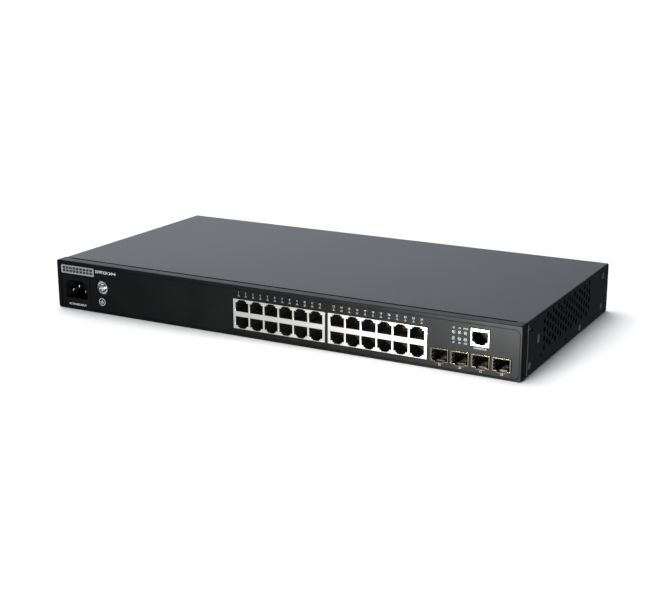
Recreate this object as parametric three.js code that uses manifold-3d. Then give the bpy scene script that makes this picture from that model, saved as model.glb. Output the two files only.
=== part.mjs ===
// A 1U rackmount network switch: 24 copper ports, 4 pluggable-optics cages and a console port.
// Millimetres. +X is to the right seen from the front, +Y towards the back, +Z up.
// The origin is the middle of the chassis's bottom face.

import * as THREE from 'three';
import { mergeVertices } from 'three/addons/utils/BufferGeometryUtils.js';
import Module from 'manifold-3d';

const wasm = await Module();
wasm.setup();

// ---------------------------------------------------------------- driving dimensions

const width = 440;
const depth = 220;
const height = 44;
const front = -depth / 2;
const back = depth / 2;

const sheet = 1;
const gap = 0.3;
const overshoot = 5;

const bezel = {
  depth: 12, wall: 1.5, topWall: 2.2, plate: 2.2, recess: 1.4, cornerR: 1.6,
  rimSide: 2.3, rimTop: 3.8, rimBottom: 1.8, recessR: 4, grooveInset: 8, grooveWidth: 3.4, grooveDepth: 1.3,
};
const faceY = front + bezel.recess;
const plateBackY = faceY + bezel.plate;
const bezelBackY = front + bezel.depth;

const cover = {
  side: width / 2 - 0.5, top: height - 0.4, bottom: 0.6, front: bezelBackY + 0.4,
  sideFront: bezelBackY + 2.6, lip: 11, bendR: 1.2,
};
const vents = { columns: 18, rows: 4, pitchY: 6.7, pitchZ: 7.2, radius: 2.6, firstY: -59, firstZ: 13.6 };

const base = {
  side: cover.side - sheet - gap, top: cover.top - sheet - gap, back: back - sheet - gap,
  flangeTop: 11, stepY: bezelBackY + 0.5, stepZ: bezel.topWall + gap, boxTop: height - bezel.topWall - 0.4,
  frontReturn: front + 48, rearReturn: front + 185, topFlange: 12,
};
const frontWallY = plateBackY + gap;
const frontWallBackY = frontWallY + sheet;

const board = { thick: 1.6, top: 6.2, front: frontWallBackY + 0.6 };
const mainBoard = { left: -108, right: 214, back: 66 };
const powerBoard = { left: -211, right: -122, front: -62, back: 92 };
const bossR = 3;

const port = { width: 11.7, height: 7.05, pitch: 13.97, stepW: [8, 5.2], stepH: [1.4, 1.35] };
const jack = {
  columns: 6, width: 86.6, height: 25.5, depth: 28, proud: 0.8, skin: 0.5, fit: 0.15, socket: 16,
  lowerZ: 3.15, upperZ: 15.3, bottom: board.top + 0.3, centres: [9.9, 99.3],
};
const consoleJack = {
  x: 186.05, width: 16.1, height: 14.2, bottom: 23.3, depth: 18, portZ: 4.75, socket: 14,
};
const consoleBoard = { left: 145, right: 208, back: -52, top: consoleJack.bottom - 0.2, thick: 1.2 };
const boardHeader = { x: 176, y: -56, width: 40, length: 5 };

const sfp = {
  count: 4, firstX: 153.3, pitch: 16.9, width: 14.4, height: 10.3, length: 48.5, wall: 0.4, proud: 1,
  bottom: board.top + 0.15, tabW: 8, tabDrop: 1.5, tabLength: 4.5, plugY: 37, plugLength: 9.5, plugW: 11.2,
  plugH: 5.6,
};

const inlet = {
  x: -199.4, z: 18.3, flangeW: 28.6, flangeH: 25, flangeT: 0.9, bodyW: 26, bodyH: 20, bodyDepth: 24,
  mouthW: 24, mouthH: 16.4, chamfer: 4.6, socket: 16, pinW: 2, pinH: 4, pinTip: 4, pinLength: 27,
  pinSpread: 7, pinRise: 2,
};

const ground = {
  x: -171.7, z: 22.9, headR: 4.2, headH: 2.6, washerR: 5.7, washerT: 0.8, shankR: 1.95, shankLength: 10,
  holeR: 2.2, nutR: 4.2, nutH: 3.4, bezelHoleR: 6.5, slotW: 1.1, slotL: 5, slotDepth: 1.3,
};

const portLamp = { z: 34.8, side: 2.5, plateT: 1.8, tipY: faceY + 0.15, dropY: front + 32 };
const statusLamp = { xs: [164.3, 169.2, 174.1], zs: [26.8, 31.9], radius: 1.3, tipY: faceY - 0.2, length: 9 };
const namePlate = { x: -197.8, z: 35.9, width: 36.4, height: 7.6, thick: 0.35 };

const coverScrew = { headR: 2.9, shankR: 1.5, depth: sheet, holeFit: 0.12 };
const screwSpots = [[-91, 8], [33, 5], [93, 8.6], [94, 36]];
const sideSlot = { y: -71.8, z: 24.2, w: 6.4, h: 7.6 };
const clipWindow = { y: -90.5, z: 36.4, w: 6.5, h: 3.6 };
const sideHoles = [[-65, 9.5], [-5, 4.7]];
const sideHoleR = 1.7;

// ---------------------------------------------------------------- materials

function material(color, roughness, metalness) {
  return new THREE.MeshStandardMaterial({ color, roughness, metalness });
}

const blackPaint = () => material(0x24262b, 0.5, 0.2);
const blackMoulding = () => material(0x17181a, 0.55, 0);
const zincSteel = () => material(0xa9adb0, 0.4, 0.9);
const nickelPlate = () => material(0xd9d7d0, 0.28, 0.95);
const tinPlate = () => material(0xa8a694, 0.35, 0.9);
const screwSteel = () => material(0xc4c6c8, 0.3, 0.95);
const brassPin = () => material(0xc9c4b2, 0.3, 0.95);
const clearLens = () => material(0xdff2e6, 0.25, 0);
const greenBoard = () => material(0x14532f, 0.45, 0);
const chipResin = () => material(0x1b1b1d, 0.6, 0);
const ferrite = () => material(0x3a3734, 0.7, 0.1);
const copperWinding = () => material(0x9a5a2b, 0.45, 0.6);
const finAluminium = () => material(0x8e9396, 0.4, 0.85);
const canSleeve = () => material(0x22304a, 0.4, 0);
const insulatorFilm = () => material(0xe6e2d2, 0.4, 0);
const cableSleeve = () => material(0x1d1d1f, 0.6, 0);
const plainPlate = () => material(0xdadada, 0.4, 0.1);

// ---------------------------------------------------------------- solids

function toSolid(geometry) {
  const bare = geometry.clone();
  bare.deleteAttribute('normal');
  bare.deleteAttribute('uv');
  const merged = mergeVertices(bare, 1e-4);
  return new wasm.Manifold(new wasm.Mesh({
    numProp: 3,
    vertProperties: new Float32Array(merged.attributes.position.array),
    triVerts: new Uint32Array(merged.index.array),
  }));
}

function toGeometry(solid) {
  const mesh = solid.getMesh();
  const geometry = new THREE.BufferGeometry();
  geometry.setAttribute('position', new THREE.BufferAttribute(new Float32Array(mesh.vertProperties), 3));
  geometry.setIndex(new THREE.BufferAttribute(new Uint32Array(mesh.triVerts), 1));
  geometry.computeVertexNormals();
  return geometry;
}

function box(x0, x1, y0, y1, z0, z1) {
  const geometry = new THREE.BoxGeometry(x1 - x0, y1 - y0, z1 - z0);
  geometry.translate((x0 + x1) / 2, (y0 + y1) / 2, (z0 + z1) / 2);
  return toSolid(geometry);
}

// A box that is centred on x, given by its width.
function slab(x, w, y0, y1, z0, z1) {
  return box(x - w / 2, x + w / 2, y0, y1, z0, z1);
}

function extrude(shape, length, curveSegments = 4) {
  return new THREE.ExtrudeGeometry(shape, { depth: length, bevelEnabled: false, curveSegments });
}

// The outline lies in the X-Z plane and runs from y0 back to y1.
function prismY(shape, y0, y1, curveSegments) {
  const geometry = extrude(shape, y1 - y0, curveSegments);
  geometry.rotateX(Math.PI / 2);
  geometry.translate(0, y1, 0);
  return toSolid(geometry);
}

// The outline lies in the Y-Z plane and runs from x0 to x1.
function prismX(shape, x0, x1, curveSegments) {
  const geometry = extrude(shape, x1 - x0, curveSegments);
  const turn = new THREE.Matrix4().makeBasis(
    new THREE.Vector3(0, 1, 0),
    new THREE.Vector3(0, 0, 1),
    new THREE.Vector3(1, 0, 0),
  );
  geometry.applyMatrix4(turn);
  geometry.translate(x0, 0, 0);
  return toSolid(geometry);
}

function prismZ(shape, z0, z1, curveSegments) {
  const geometry = extrude(shape, z1 - z0, curveSegments);
  geometry.translate(0, 0, z0);
  return toSolid(geometry);
}

function polygon(points) {
  return new THREE.Shape(points.map(([u, v]) => new THREE.Vector2(u, v)));
}

function regularOutline(u, v, radius, sides, start = 0) {
  const points = Array.from({ length: sides }, (_, i) => {
    const angle = start + (i * 2 * Math.PI) / sides;
    return [u + radius * Math.cos(angle), v + radius * Math.sin(angle)];
  });
  return polygon(points);
}

function roundedOutline(u0, u1, v0, v1, r) {
  const shape = new THREE.Shape();
  shape.moveTo(u0 + r, v0);
  shape.lineTo(u1 - r, v0);
  shape.absarc(u1 - r, v0 + r, r, -Math.PI / 2, 0);
  shape.lineTo(u1, v1 - r);
  shape.absarc(u1 - r, v1 - r, r, 0, Math.PI / 2);
  shape.lineTo(u0 + r, v1);
  shape.absarc(u0 + r, v1 - r, r, Math.PI / 2, Math.PI);
  shape.lineTo(u0, v0 + r);
  shape.absarc(u0 + r, v0 + r, r, Math.PI, 1.5 * Math.PI);
  return shape;
}

function unite(solids) {
  return solids.reduce((whole, solid) => whole.add(solid));
}

function cut(solid, tools) {
  return tools.reduce((rest, tool) => rest.subtract(tool), solid);
}

const bothSides = [-1, 1];

// ---------------------------------------------------------------- shared outlines

// A modular-jack opening: the plug's rectangle with the two steps of the latch notch.
// side is +1 when the notch points up and -1 when it points down; z is the rectangle's lower edge.
function portOutline(x, z, side) {
  const half = port.width / 2;
  const edge = side > 0 ? z + port.height : z;
  const far = side > 0 ? z : z + port.height;
  const firstStep = edge + side * port.stepH[0];
  const secondStep = firstStep + side * port.stepH[1];
  const outline = [
    [x - half, far],
    [x - half, edge],
    [x - port.stepW[0] / 2, edge],
    [x - port.stepW[0] / 2, firstStep],
    [x - port.stepW[1] / 2, firstStep],
    [x - port.stepW[1] / 2, secondStep],
    [x + port.stepW[1] / 2, secondStep],
    [x + port.stepW[1] / 2, firstStep],
    [x + port.stepW[0] / 2, firstStep],
    [x + port.stepW[0] / 2, edge],
    [x + half, edge],
    [x + half, far],
  ];
  return polygon(side > 0 ? outline.reverse() : outline);
}

function jackColumns() {
  return Array.from({ length: jack.columns }, (_, i) => (i - (jack.columns - 1) / 2) * port.pitch);
}

function sfpCentres() {
  return Array.from({ length: sfp.count }, (_, i) => sfp.firstX + i * sfp.pitch);
}

function inletMouth() {
  const halfW = inlet.mouthW / 2;
  const halfH = inlet.mouthH / 2;
  return polygon([
    [-halfW, -halfH],
    [halfW, -halfH],
    [halfW, halfH - inlet.chamfer],
    [halfW - inlet.chamfer, halfH],
    [-halfW + inlet.chamfer, halfH],
    [-halfW, halfH - inlet.chamfer],
  ]);
}

// Everything that reaches through the front passes through these holes. room is the clearance all round.
function frontHoles(room, y0, y1) {
  const jacks = jack.centres.map((x) => slab(
    x, jack.width + 2 * room, y0, y1, jack.bottom - room, jack.bottom + jack.height + room,
  ));
  const console = slab(
    consoleJack.x, consoleJack.width + 2 * room, y0, y1,
    consoleJack.bottom - room, consoleJack.bottom + consoleJack.height + room,
  );
  const cages = sfpCentres().flatMap((x) => [
    slab(x, sfp.width + 2 * room, y0, y1, sfp.bottom - room, sfp.bottom + sfp.height + room),
    slab(x, sfp.tabW + 2 * room, y0, y1, sfp.bottom - sfp.tabDrop - room, sfp.bottom),
  ]);
  const inletHole = slab(
    inlet.x, inlet.bodyW + 2 * room, y0, y1,
    inlet.z - inlet.bodyH / 2 - room, inlet.z + inlet.bodyH / 2 + room,
  );
  const lamps = statusLamp.xs.flatMap((x) => statusLamp.zs.map(
    (z) => prismY(regularOutline(x, z, statusLamp.radius + room, 12), y0, y1),
  ));
  return [...jacks, console, ...cages, inletHole, ...lamps];
}

// ---------------------------------------------------------------- enclosure

function chassisBase() {
  const { side, top, back: wallBack, flangeTop, stepY, stepZ, boxTop } = base;
  const floor = box(-side, side, stepY, wallBack, 0, sheet);
  const step = box(-side, side, stepY, stepY + sheet, 0, stepZ + sheet);
  const shelf = box(-side, side, frontWallY, stepY + sheet, stepZ, stepZ + sheet);
  const frontWall = box(-side, side, frontWallY, frontWallBackY, stepZ, boxTop);
  const topFlange = box(-side, side, frontWallY, stepY + base.topFlange, boxTop - sheet, boxTop);
  const rearWall = box(-side, side, wallBack - sheet, wallBack, 0, top);
  const rearFlange = box(-side, side, wallBack - base.topFlange, wallBack, top - sheet, top);
  const walls = bothSides.flatMap((s) => {
    const x0 = s > 0 ? side - sheet : -side;
    const x1 = s > 0 ? side : -side + sheet;
    return [
      box(x0, x1, frontWallY, stepY + sheet, stepZ, boxTop),
      box(x0, x1, stepY, base.frontReturn, 0, boxTop),
      box(x0, x1, stepY, wallBack, 0, flangeTop),
      box(x0, x1, base.rearReturn, wallBack, 0, top),
    ];
  });
  const bosses = bossSpots().map(([x, y]) => prismZ(
    regularOutline(x, y, bossR, 10), sheet / 2, board.top - board.thick - 0.1,
  ));
  const tray = unite([floor, step, shelf, frontWall, topFlange, rearWall, rearFlange, ...walls, ...bosses]);
  const lampSlots = jack.centres.map((x) => slab(
    x, jack.width, frontWallY - 1, frontWallBackY + 1,
    portLamp.z - portLamp.side, portLamp.z + portLamp.side,
  ));
  const groundHole = prismY(
    regularOutline(ground.x, ground.z, ground.holeR, 20), frontWallY - 1, frontWallBackY + 1,
  );
  return cut(tray, [...frontHoles(0.4, frontWallY - 1, frontWallBackY + 0.05), ...lampSlots, groundHole]);
}

// Half-sheared bosses under the two boards' fixing holes.
function bossSpots() {
  const inset = 8;
  const mainXs = [mainBoard.left + inset, (mainBoard.left + mainBoard.right) / 2, mainBoard.right - inset];
  const mainYs = [-66, mainBoard.back - inset];
  const powerXs = [powerBoard.left + inset, powerBoard.right - inset];
  const powerYs = [powerBoard.front + inset, powerBoard.back - inset];
  return [
    ...mainXs.flatMap((x) => mainYs.map((y) => [x, y])),
    ...powerXs.flatMap((x) => powerYs.map((y) => [x, y])),
  ];
}

function ventHoles() {
  const holes = [];
  for (let column = 0; column < vents.columns; column += 1) {
    const y = vents.firstY + column * vents.pitchY;
    const rise = column % 2 === 0 ? 0 : vents.pitchZ / 2;
    for (let row = 0; row < vents.rows; row += 1) {
      const outline = regularOutline(y, vents.firstZ + rise + row * vents.pitchZ, vents.radius, 6);
      holes.push(prismX(outline, -cover.side - overshoot, cover.side + overshoot));
    }
  }
  return holes;
}

// A folded cover: top, two sides and a lip down the back.
function topCover() {
  const { side, top, bottom, bendR } = cover;
  const section = new THREE.Shape();
  section.moveTo(-side, bottom);
  section.lineTo(side, bottom);
  section.lineTo(side, top - bendR);
  section.absarc(side - bendR, top - bendR, bendR, 0, Math.PI / 2);
  section.lineTo(-side + bendR, top);
  section.absarc(-side + bendR, top - bendR, bendR, Math.PI / 2, Math.PI);
  section.closePath();
  const inside = side - sheet;
  const shell = cut(prismY(section, cover.front, back, 3), [
    box(-inside, inside, cover.front - 1, back - sheet, bottom - 1, top - sheet),
    box(-inside, inside, back - 2 * sheet, back + 1, bottom - 1, top - cover.lip),
  ]);
  const sideRelief = box(
    -side - overshoot, side + overshoot, cover.front - 1, cover.sideFront, bottom - 1, top - bendR,
  );
  const rounds = (spots, radius, sides) => spots.map(([y, z]) => prismX(
    regularOutline(y, z, radius, sides), -side - overshoot, side + overshoot,
  ));
  const slot = box(
    -side - overshoot, side + overshoot, sideSlot.y - sideSlot.w / 2, sideSlot.y + sideSlot.w / 2,
    sideSlot.z - sideSlot.h / 2, sideSlot.z + sideSlot.h / 2,
  );
  const window = box(
    -side - overshoot, side + overshoot, clipWindow.y - clipWindow.w / 2, clipWindow.y + clipWindow.w / 2,
    clipWindow.z - clipWindow.h / 2, clipWindow.z + clipWindow.h / 2,
  );
  return cut(shell, [
    sideRelief, slot, window, ...ventHoles(), ...rounds(sideHoles, sideHoleR, 8),
    ...rounds(screwSpots, coverScrew.headR + coverScrew.holeFit, 12),
  ]);
}

// A flush countersunk screw head that fills its seat in the cover's side, axis along +Z here.
function coverScrewHead() {
  const { headR, shankR, depth: thick } = coverScrew;
  const profile = [[0, 0], [shankR, 0], [headR, thick * 0.7], [headR, thick - 0.05], [0, thick - 0.05]];
  return new THREE.LatheGeometry(profile.map(([r, z]) => new THREE.Vector2(r, z)), 12);
}

function frontBezel() {
  const half = width / 2;
  const outer = prismY(roundedOutline(-half, half, 0, height, bezel.cornerR), front, bezelBackY, 3);
  const face = prismY(roundedOutline(
    -half + bezel.rimSide, half - bezel.rimSide, bezel.rimBottom, height - bezel.rimTop, bezel.recessR,
  ), front - 1, faceY, 4);
  const pocket = box(
    -half + bezel.wall, half - bezel.wall, plateBackY, bezelBackY + 1, bezel.topWall, height - bezel.topWall,
  );
  const seamGroove = slab(
    0, width - 2 * bezel.grooveInset, bezelBackY - bezel.grooveWidth, bezelBackY + 1,
    height - bezel.grooveDepth, height + 1,
  );
  const lampWindows = jack.centres.flatMap((x) => lampColumns().map((dx) => prismY(
    regularOutline(x + dx, portLamp.z, portLamp.side * 0.68, 3, Math.PI / 2), front, plateBackY + 1,
  )));
  const groundHole = prismY(
    regularOutline(ground.x, ground.z, ground.bezelHoleR, 24), front, plateBackY + 1,
  );
  return cut(outer, [
    face, pocket, seamGroove, groundHole, ...lampWindows, ...frontHoles(0.25, front, plateBackY + 1),
  ]);
}

function namePlateBlank() {
  const { width: w, height: h, thick } = namePlate;
  return prismY(roundedOutline(-w / 2, w / 2, -h / 2, h / 2, 0.8), 0, thick, 2);
}

// ---------------------------------------------------------------- copper ports

function jackOpenings(y0, y1) {
  return jackColumns().flatMap((x) => [
    prismY(portOutline(x, jack.lowerZ, -1), y0, y1),
    prismY(portOutline(x, jack.upperZ, 1), y0, y1),
  ]);
}

function jackShield() {
  const { width: w, height: h, depth: d, skin } = jack;
  const shell = slab(0, w, 0, d, 0, h).subtract(slab(0, w - 2 * skin, skin, d - skin, -1, h - skin));
  return cut(shell, jackOpenings(-1, skin + 1));
}

function jackHousing() {
  const inset = jack.skin + jack.fit;
  const block = slab(0, jack.width - 2 * inset, inset, jack.depth - inset, 0, jack.height - inset);
  return cut(block, jackOpenings(-1, jack.socket));
}

function consoleShield() {
  const { width: w, height: h, depth: d } = consoleJack;
  const { skin } = jack;
  const shell = slab(0, w, 0, d, 0, h).subtract(slab(0, w - 2 * skin, skin, d - skin, -1, h - skin));
  return shell.subtract(prismY(portOutline(0, consoleJack.portZ, -1), -1, skin + 1));
}

function consoleHousing() {
  const inset = jack.skin + jack.fit;
  const block = slab(
    0, consoleJack.width - 2 * inset, inset, consoleJack.depth - inset, 0, consoleJack.height - inset,
  );
  return block.subtract(prismY(portOutline(0, consoleJack.portZ, -1), -1, consoleJack.socket));
}

// ---------------------------------------------------------------- optics cages

function sfpCage() {
  const { width: w, height: h, length, wall, tabW, tabDrop, tabLength } = sfp;
  const tube = slab(0, w, 0, length, 0, h).add(slab(0, tabW, 0, tabLength, -tabDrop, wall));
  const bore = slab(0, w - 2 * wall, -1, length - wall, wall, h - wall);
  const tabBore = slab(0, tabW - 2 * wall, -1, tabLength - wall, wall - tabDrop, wall + 0.1);
  const plugHole = slab(0, sfp.plugW + 0.6, sfp.plugY - 0.3, length - wall, -1, wall + 0.1);
  const latchHole = prismZ(polygon([[-1.7, 13.5], [1.7, 13.5], [0, 11]]), -1, wall + 0.1);
  return cut(tube, [bore, tabBore, plugHole, latchHole]);
}

function sfpPlug() {
  const { plugW, plugH, plugY, plugLength } = sfp;
  const block = slab(0, plugW, plugY, plugY + plugLength, 0, plugH);
  const tongueSlot = slab(0, plugW - 2, plugY - 1, plugY + 6, 2.2, 3.8);
  return block.subtract(tongueSlot);
}

// ---------------------------------------------------------------- power inlet and ground

function inletBody() {
  const { flangeW, flangeH, flangeT, bodyW, bodyH, bodyDepth } = inlet;
  const flange = prismY(
    roundedOutline(-flangeW / 2, flangeW / 2, -flangeH / 2, flangeH / 2, 1.5), 0, flangeT, 3,
  );
  const body = box(-bodyW / 2, bodyW / 2, flangeT / 2, bodyDepth, -bodyH / 2, bodyH / 2);
  const pinSlots = pinSpots().map(([x, z]) => box(
    x - inlet.pinW / 2 - 0.1, x + inlet.pinW / 2 + 0.1, inlet.socket - 1, bodyDepth + 1,
    z - inlet.pinH / 2 - 0.1, z + inlet.pinH / 2 + 0.1,
  ));
  return cut(flange.add(body), [prismY(inletMouth(), -1, inlet.socket), ...pinSlots]);
}

function pinSpots() {
  return [[-inlet.pinSpread, -inlet.pinRise], [inlet.pinSpread, -inlet.pinRise], [0, inlet.pinRise]];
}

function inletPin() {
  const { pinW, pinH, pinTip, pinLength } = inlet;
  const blade = box(-pinW / 2, pinW / 2, pinTip + 1.5, pinTip + pinLength, -pinH / 2, pinH / 2);
  const nose = box(-pinW / 2 + 0.4, pinW / 2 - 0.4, pinTip, pinTip + 2, -pinH / 2 + 0.7, pinH / 2 - 0.7);
  return blade.add(nose);
}

// The head's seat is at y = 0 and the shank points along +Y.
function groundScrew() {
  const { headR, headH, shankR, shankLength, slotW, slotL, slotDepth } = ground;
  const profile = [
    [0, -shankLength], [shankR * 0.7, -shankLength], [shankR, 0.8 - shankLength], [shankR, 0],
    [headR, 0], [headR, headH * 0.45], [headR * 0.86, headH * 0.82], [headR * 0.5, headH], [0, headH],
  ];
  const body = new THREE.LatheGeometry(profile.map(([r, z]) => new THREE.Vector2(r, z)), 24);
  body.rotateX(Math.PI);
  const slots = [
    box(-slotW / 2, slotW / 2, -headH - 1, slotDepth - headH, -slotL / 2, slotL / 2),
    box(-slotL / 2, slotL / 2, -headH - 1, slotDepth - headH, -slotW / 2, slotW / 2),
  ];
  return cut(toSolid(body), slots);
}

function ring(outer, inner, sides, thick) {
  const outline = regularOutline(0, 0, outer, sides);
  const hole = regularOutline(0, 0, inner, 20);
  return prismY(outline, 0, thick).subtract(prismY(hole, -1, thick + 1));
}

// ---------------------------------------------------------------- lamps

function lampColumns() {
  const count = 2 * jack.columns;
  return Array.from({ length: count }, (_, i) => (i - (count - 1) / 2) * (port.pitch / 2));
}

// Twelve triangular lenses on one moulded light guide that drops behind the jack to the board.
function portLightGuide() {
  const { z, side, plateT, tipY, dropY } = portLamp;
  const half = jack.width / 2 - 1.2;
  const lowest = board.top + 1.2;
  const plate = box(-half, half, frontWallBackY + 0.4, dropY, z - plateT / 2, z + plateT / 2);
  const drop = box(-half, half, dropY - plateT, dropY, lowest, z + plateT / 2);
  const lenses = lampColumns().map((x) => prismY(
    regularOutline(x, z, side * 0.6, 3, Math.PI / 2), tipY, frontWallBackY + 1,
  ));
  return unite([plate, drop, ...lenses]);
}

// Six round lenses on one backing plate above the optics cages.
function statusLightGuide() {
  const { xs, zs, radius, tipY, length } = statusLamp;
  const backY = tipY + length;
  const plate = box(
    xs[0] - 2, xs[xs.length - 1] + 2, backY - 1.5, backY, consoleBoard.top + 0.2, zs[zs.length - 1] + 2,
  );
  const lenses = xs.flatMap((x) => zs.map((z) => prismY(
    regularOutline(x, z, radius, 12), tipY, backY - 0.5,
  )));
  return unite([plate, ...lenses]);
}

// ---------------------------------------------------------------- boards and what stands on them

function flatBoard(left, right, y0, y1, top, thick) {
  return box(left, right, y0, y1, top - thick, top);
}

function finnedBlock(w, l, h, fins) {
  const floor = box(-w / 2, w / 2, -l / 2, l / 2, 0, 2);
  const step = w / fins;
  const blades = Array.from({ length: fins }, (_, i) => {
    const x = -w / 2 + step * (i + 0.5);
    return box(x - step * 0.2, x + step * 0.2, -l / 2, l / 2, 1, h);
  });
  return unite([floor, ...blades]);
}

function chipBlock(w, l, h) {
  return box(-w / 2, w / 2, -l / 2, l / 2, 0, h);
}

function roundCan(radius, h) {
  const profile = [[0, 0], [radius, 0], [radius, h - 0.8], [radius - 0.8, h], [0, h]];
  const can = new THREE.LatheGeometry(profile.map(([r, z]) => new THREE.Vector2(r, z)), 24);
  can.rotateX(Math.PI / 2);
  return can;
}

function ringCore(major, minor) {
  const section = Array.from({ length: 9 }, (_, i) => {
    const angle = (i * 2 * Math.PI) / 8;
    return new THREE.Vector2(major + minor * Math.cos(angle), minor * Math.sin(angle));
  });
  return new THREE.LatheGeometry(section, 20);
}

function coreTransformer() {
  const core = box(-14, 14, -6, 6, 3, 22);
  const bobbin = box(-9, 9, -12, 12, 0, 20);
  return core.add(bobbin);
}

function tube(points, radius) {
  const curve = new THREE.CatmullRomCurve3(points.map(([x, y, z]) => new THREE.Vector3(x, y, z)));
  const section = regularOutline(0, 0, radius, 8);
  return new THREE.ExtrudeGeometry(section, { steps: 20, bevelEnabled: false, extrudePath: curve });
}

// ---------------------------------------------------------------- assembly

const assembly = new THREE.Group();

function place(parent, name, shape, finish, x = 0, y = 0, z = 0) {
  const geometry = shape.isBufferGeometry ? shape : toGeometry(shape);
  const mesh = new THREE.Mesh(geometry, finish);
  mesh.name = name;
  mesh.position.set(x, y, z);
  parent.add(mesh);
  return mesh;
}

function addEnclosure() {
  place(assembly, 'chassis_base', chassisBase(), zincSteel());
  place(assembly, 'front_bezel', frontBezel(), blackMoulding());
  place(
    assembly, 'name_plate', namePlateBlank(), plainPlate(),
    namePlate.x, faceY - namePlate.thick - 0.05, namePlate.z,
  );
  place(assembly, 'top_cover', topCover(), blackPaint());
  for (const s of bothSides) {
    const side = s > 0 ? 'right' : 'left';
    screwSpots.forEach(([y, z], i) => {
      const screw = place(
        assembly, `cover_screw_${side}_${i + 1}`, coverScrewHead(), screwSteel(),
        s * (cover.side - sheet), y, z,
      );
      screw.rotation.z = -s * (Math.PI / 2);
    });
  }
}

function addJacks() {
  jack.centres.forEach((x, i) => {
    const side = i === 0 ? 'left' : 'right';
    const block = new THREE.Group();
    block.position.set(x, faceY - jack.proud, jack.bottom);
    assembly.add(block);
    place(block, `port_block_${side}_shield`, jackShield(), nickelPlate());
    place(block, `port_block_${side}_housing`, jackHousing(), blackMoulding());
    place(assembly, `port_light_guide_${side}`, portLightGuide(), clearLens(), x);
  });
  const consolePort = new THREE.Group();
  consolePort.position.set(consoleJack.x, faceY - jack.proud, consoleJack.bottom);
  assembly.add(consolePort);
  place(consolePort, 'console_port_shield', consoleShield(), nickelPlate());
  place(consolePort, 'console_port_housing', consoleHousing(), blackMoulding());
  place(assembly, 'status_light_guide', statusLightGuide(), clearLens());
}

function addCages() {
  sfpCentres().forEach((x, i) => {
    const bay = new THREE.Group();
    bay.position.set(x, faceY - sfp.proud, sfp.bottom);
    assembly.add(bay);
    place(bay, `optics_cage_${i + 1}`, sfpCage(), tinPlate());
    place(bay, `optics_connector_${i + 1}`, sfpPlug(), chipResin());
  });
}

function addInletAndGround() {
  const socket = new THREE.Group();
  socket.position.set(inlet.x, faceY - inlet.flangeT - 0.1, inlet.z);
  assembly.add(socket);
  place(socket, 'inlet_housing', inletBody(), blackMoulding());
  const pinNames = ['inlet_pin_line', 'inlet_pin_neutral', 'inlet_pin_earth'];
  pinSpots().forEach(([x, z], i) => place(socket, pinNames[i], inletPin(), brassPin(), x, 0, z));
  const washerY = frontWallY - 0.1 - ground.washerT;
  place(
    assembly, 'ground_washer', ring(ground.washerR, ground.holeR, 24, ground.washerT), screwSteel(),
    ground.x, washerY, ground.z,
  );
  place(assembly, 'ground_screw', groundScrew(), screwSteel(), ground.x, washerY - 0.1, ground.z);
  place(
    assembly, 'ground_nut', ring(ground.nutR, ground.holeR, 6, ground.nutH), screwSteel(),
    ground.x, frontWallBackY + 0.1, ground.z,
  );
}

function addMainBoard() {
  const { left, right, back: rear } = mainBoard;
  place(
    assembly, 'main_board',
    flatBoard(left, right, board.front, rear, board.top, board.thick), greenBoard(),
  );
  const top = board.top + 0.1;
  place(assembly, 'switch_chip', chipBlock(31, 31, 2.4), chipResin(), 62, -8, top);
  place(assembly, 'switch_chip_heatsink', finnedBlock(48, 48, 15, 9), finAluminium(), 62, -8, top + 2.5);
  [10, 114].forEach((x, i) => {
    place(assembly, `port_driver_chip_${i + 1}`, chipBlock(20, 20, 1.6), chipResin(), x, -46, top);
  });
  lampGroups().forEach((x, i) => {
    place(assembly, `port_transformer_${i + 1}`, chipBlock(25, 14, 6), chipResin(), x, -67, top);
  });
  place(assembly, 'board_power_socket', chipBlock(9, 22, 9), insulatorFilm(), -98, 20, top);
  const { left: l, right: r, back: b, top: t, thick } = consoleBoard;
  place(assembly, 'console_board', flatBoard(l, r, board.front, b, t, thick), greenBoard());
  const headerTop = t - thick - 0.1;
  place(
    assembly, 'console_board_header', chipBlock(boardHeader.width, boardHeader.length, headerTop - top),
    chipResin(), boardHeader.x, boardHeader.y, top,
  );
}

function lampGroups() {
  return jack.centres.flatMap((x) => [-28.5, 0, 28.5].map((dx) => x + dx));
}

function addPowerSupply() {
  const { left, right, front: y0, back: y1 } = powerBoard;
  place(assembly, 'power_board', flatBoard(left, right, y0, y1, board.top, board.thick), greenBoard());
  const top = board.top + 0.1;
  place(assembly, 'power_inlet_socket', chipBlock(22, 9, 10), insulatorFilm(), -194, -54, top);
  const choke = place(assembly, 'power_choke', ringCore(7, 4), copperWinding(), -150, -38, top + 4.1);
  choke.rotation.x = Math.PI / 2;
  place(assembly, 'power_capacitor', roundCan(9, 27), canSleeve(), -194, 4, top);
  place(assembly, 'power_transformer', coreTransformer(), ferrite(), -160, 14, top);
  place(assembly, 'power_heatsink_primary', finnedBlock(50, 8, 26, 7), finAluminium(), -178, -16, top);
  place(assembly, 'power_heatsink_secondary', finnedBlock(40, 8, 24, 6), finAluminium(), -156, 48, top);
  place(assembly, 'power_output_socket', chipBlock(9, 22, 9), insulatorFilm(), -132, 72, top);
}

function addHarnesses() {
  const inletBack = faceY + inlet.bodyDepth;
  place(assembly, 'mains_harness', tube([
    [inlet.x, inletBack + 8.5, inlet.z],
    [inlet.x + 0.5, inletBack + 12, inlet.z],
    [inlet.x + 2, inletBack + 17, inlet.z + 1.5],
    [-194, -55, 21],
    [-194, -54, 18.5],
    [-194, -54, 16.8],
  ], 2.6), cableSleeve());
  place(assembly, 'board_supply_harness', tube([
    [-132, 72, 16],
    [-132, 72, 19],
    [-124, 58, 25],
    [-106, 34, 25],
    [-98, 20, 19],
    [-98, 20, 16],
  ], 2.6), cableSleeve());
}

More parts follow.
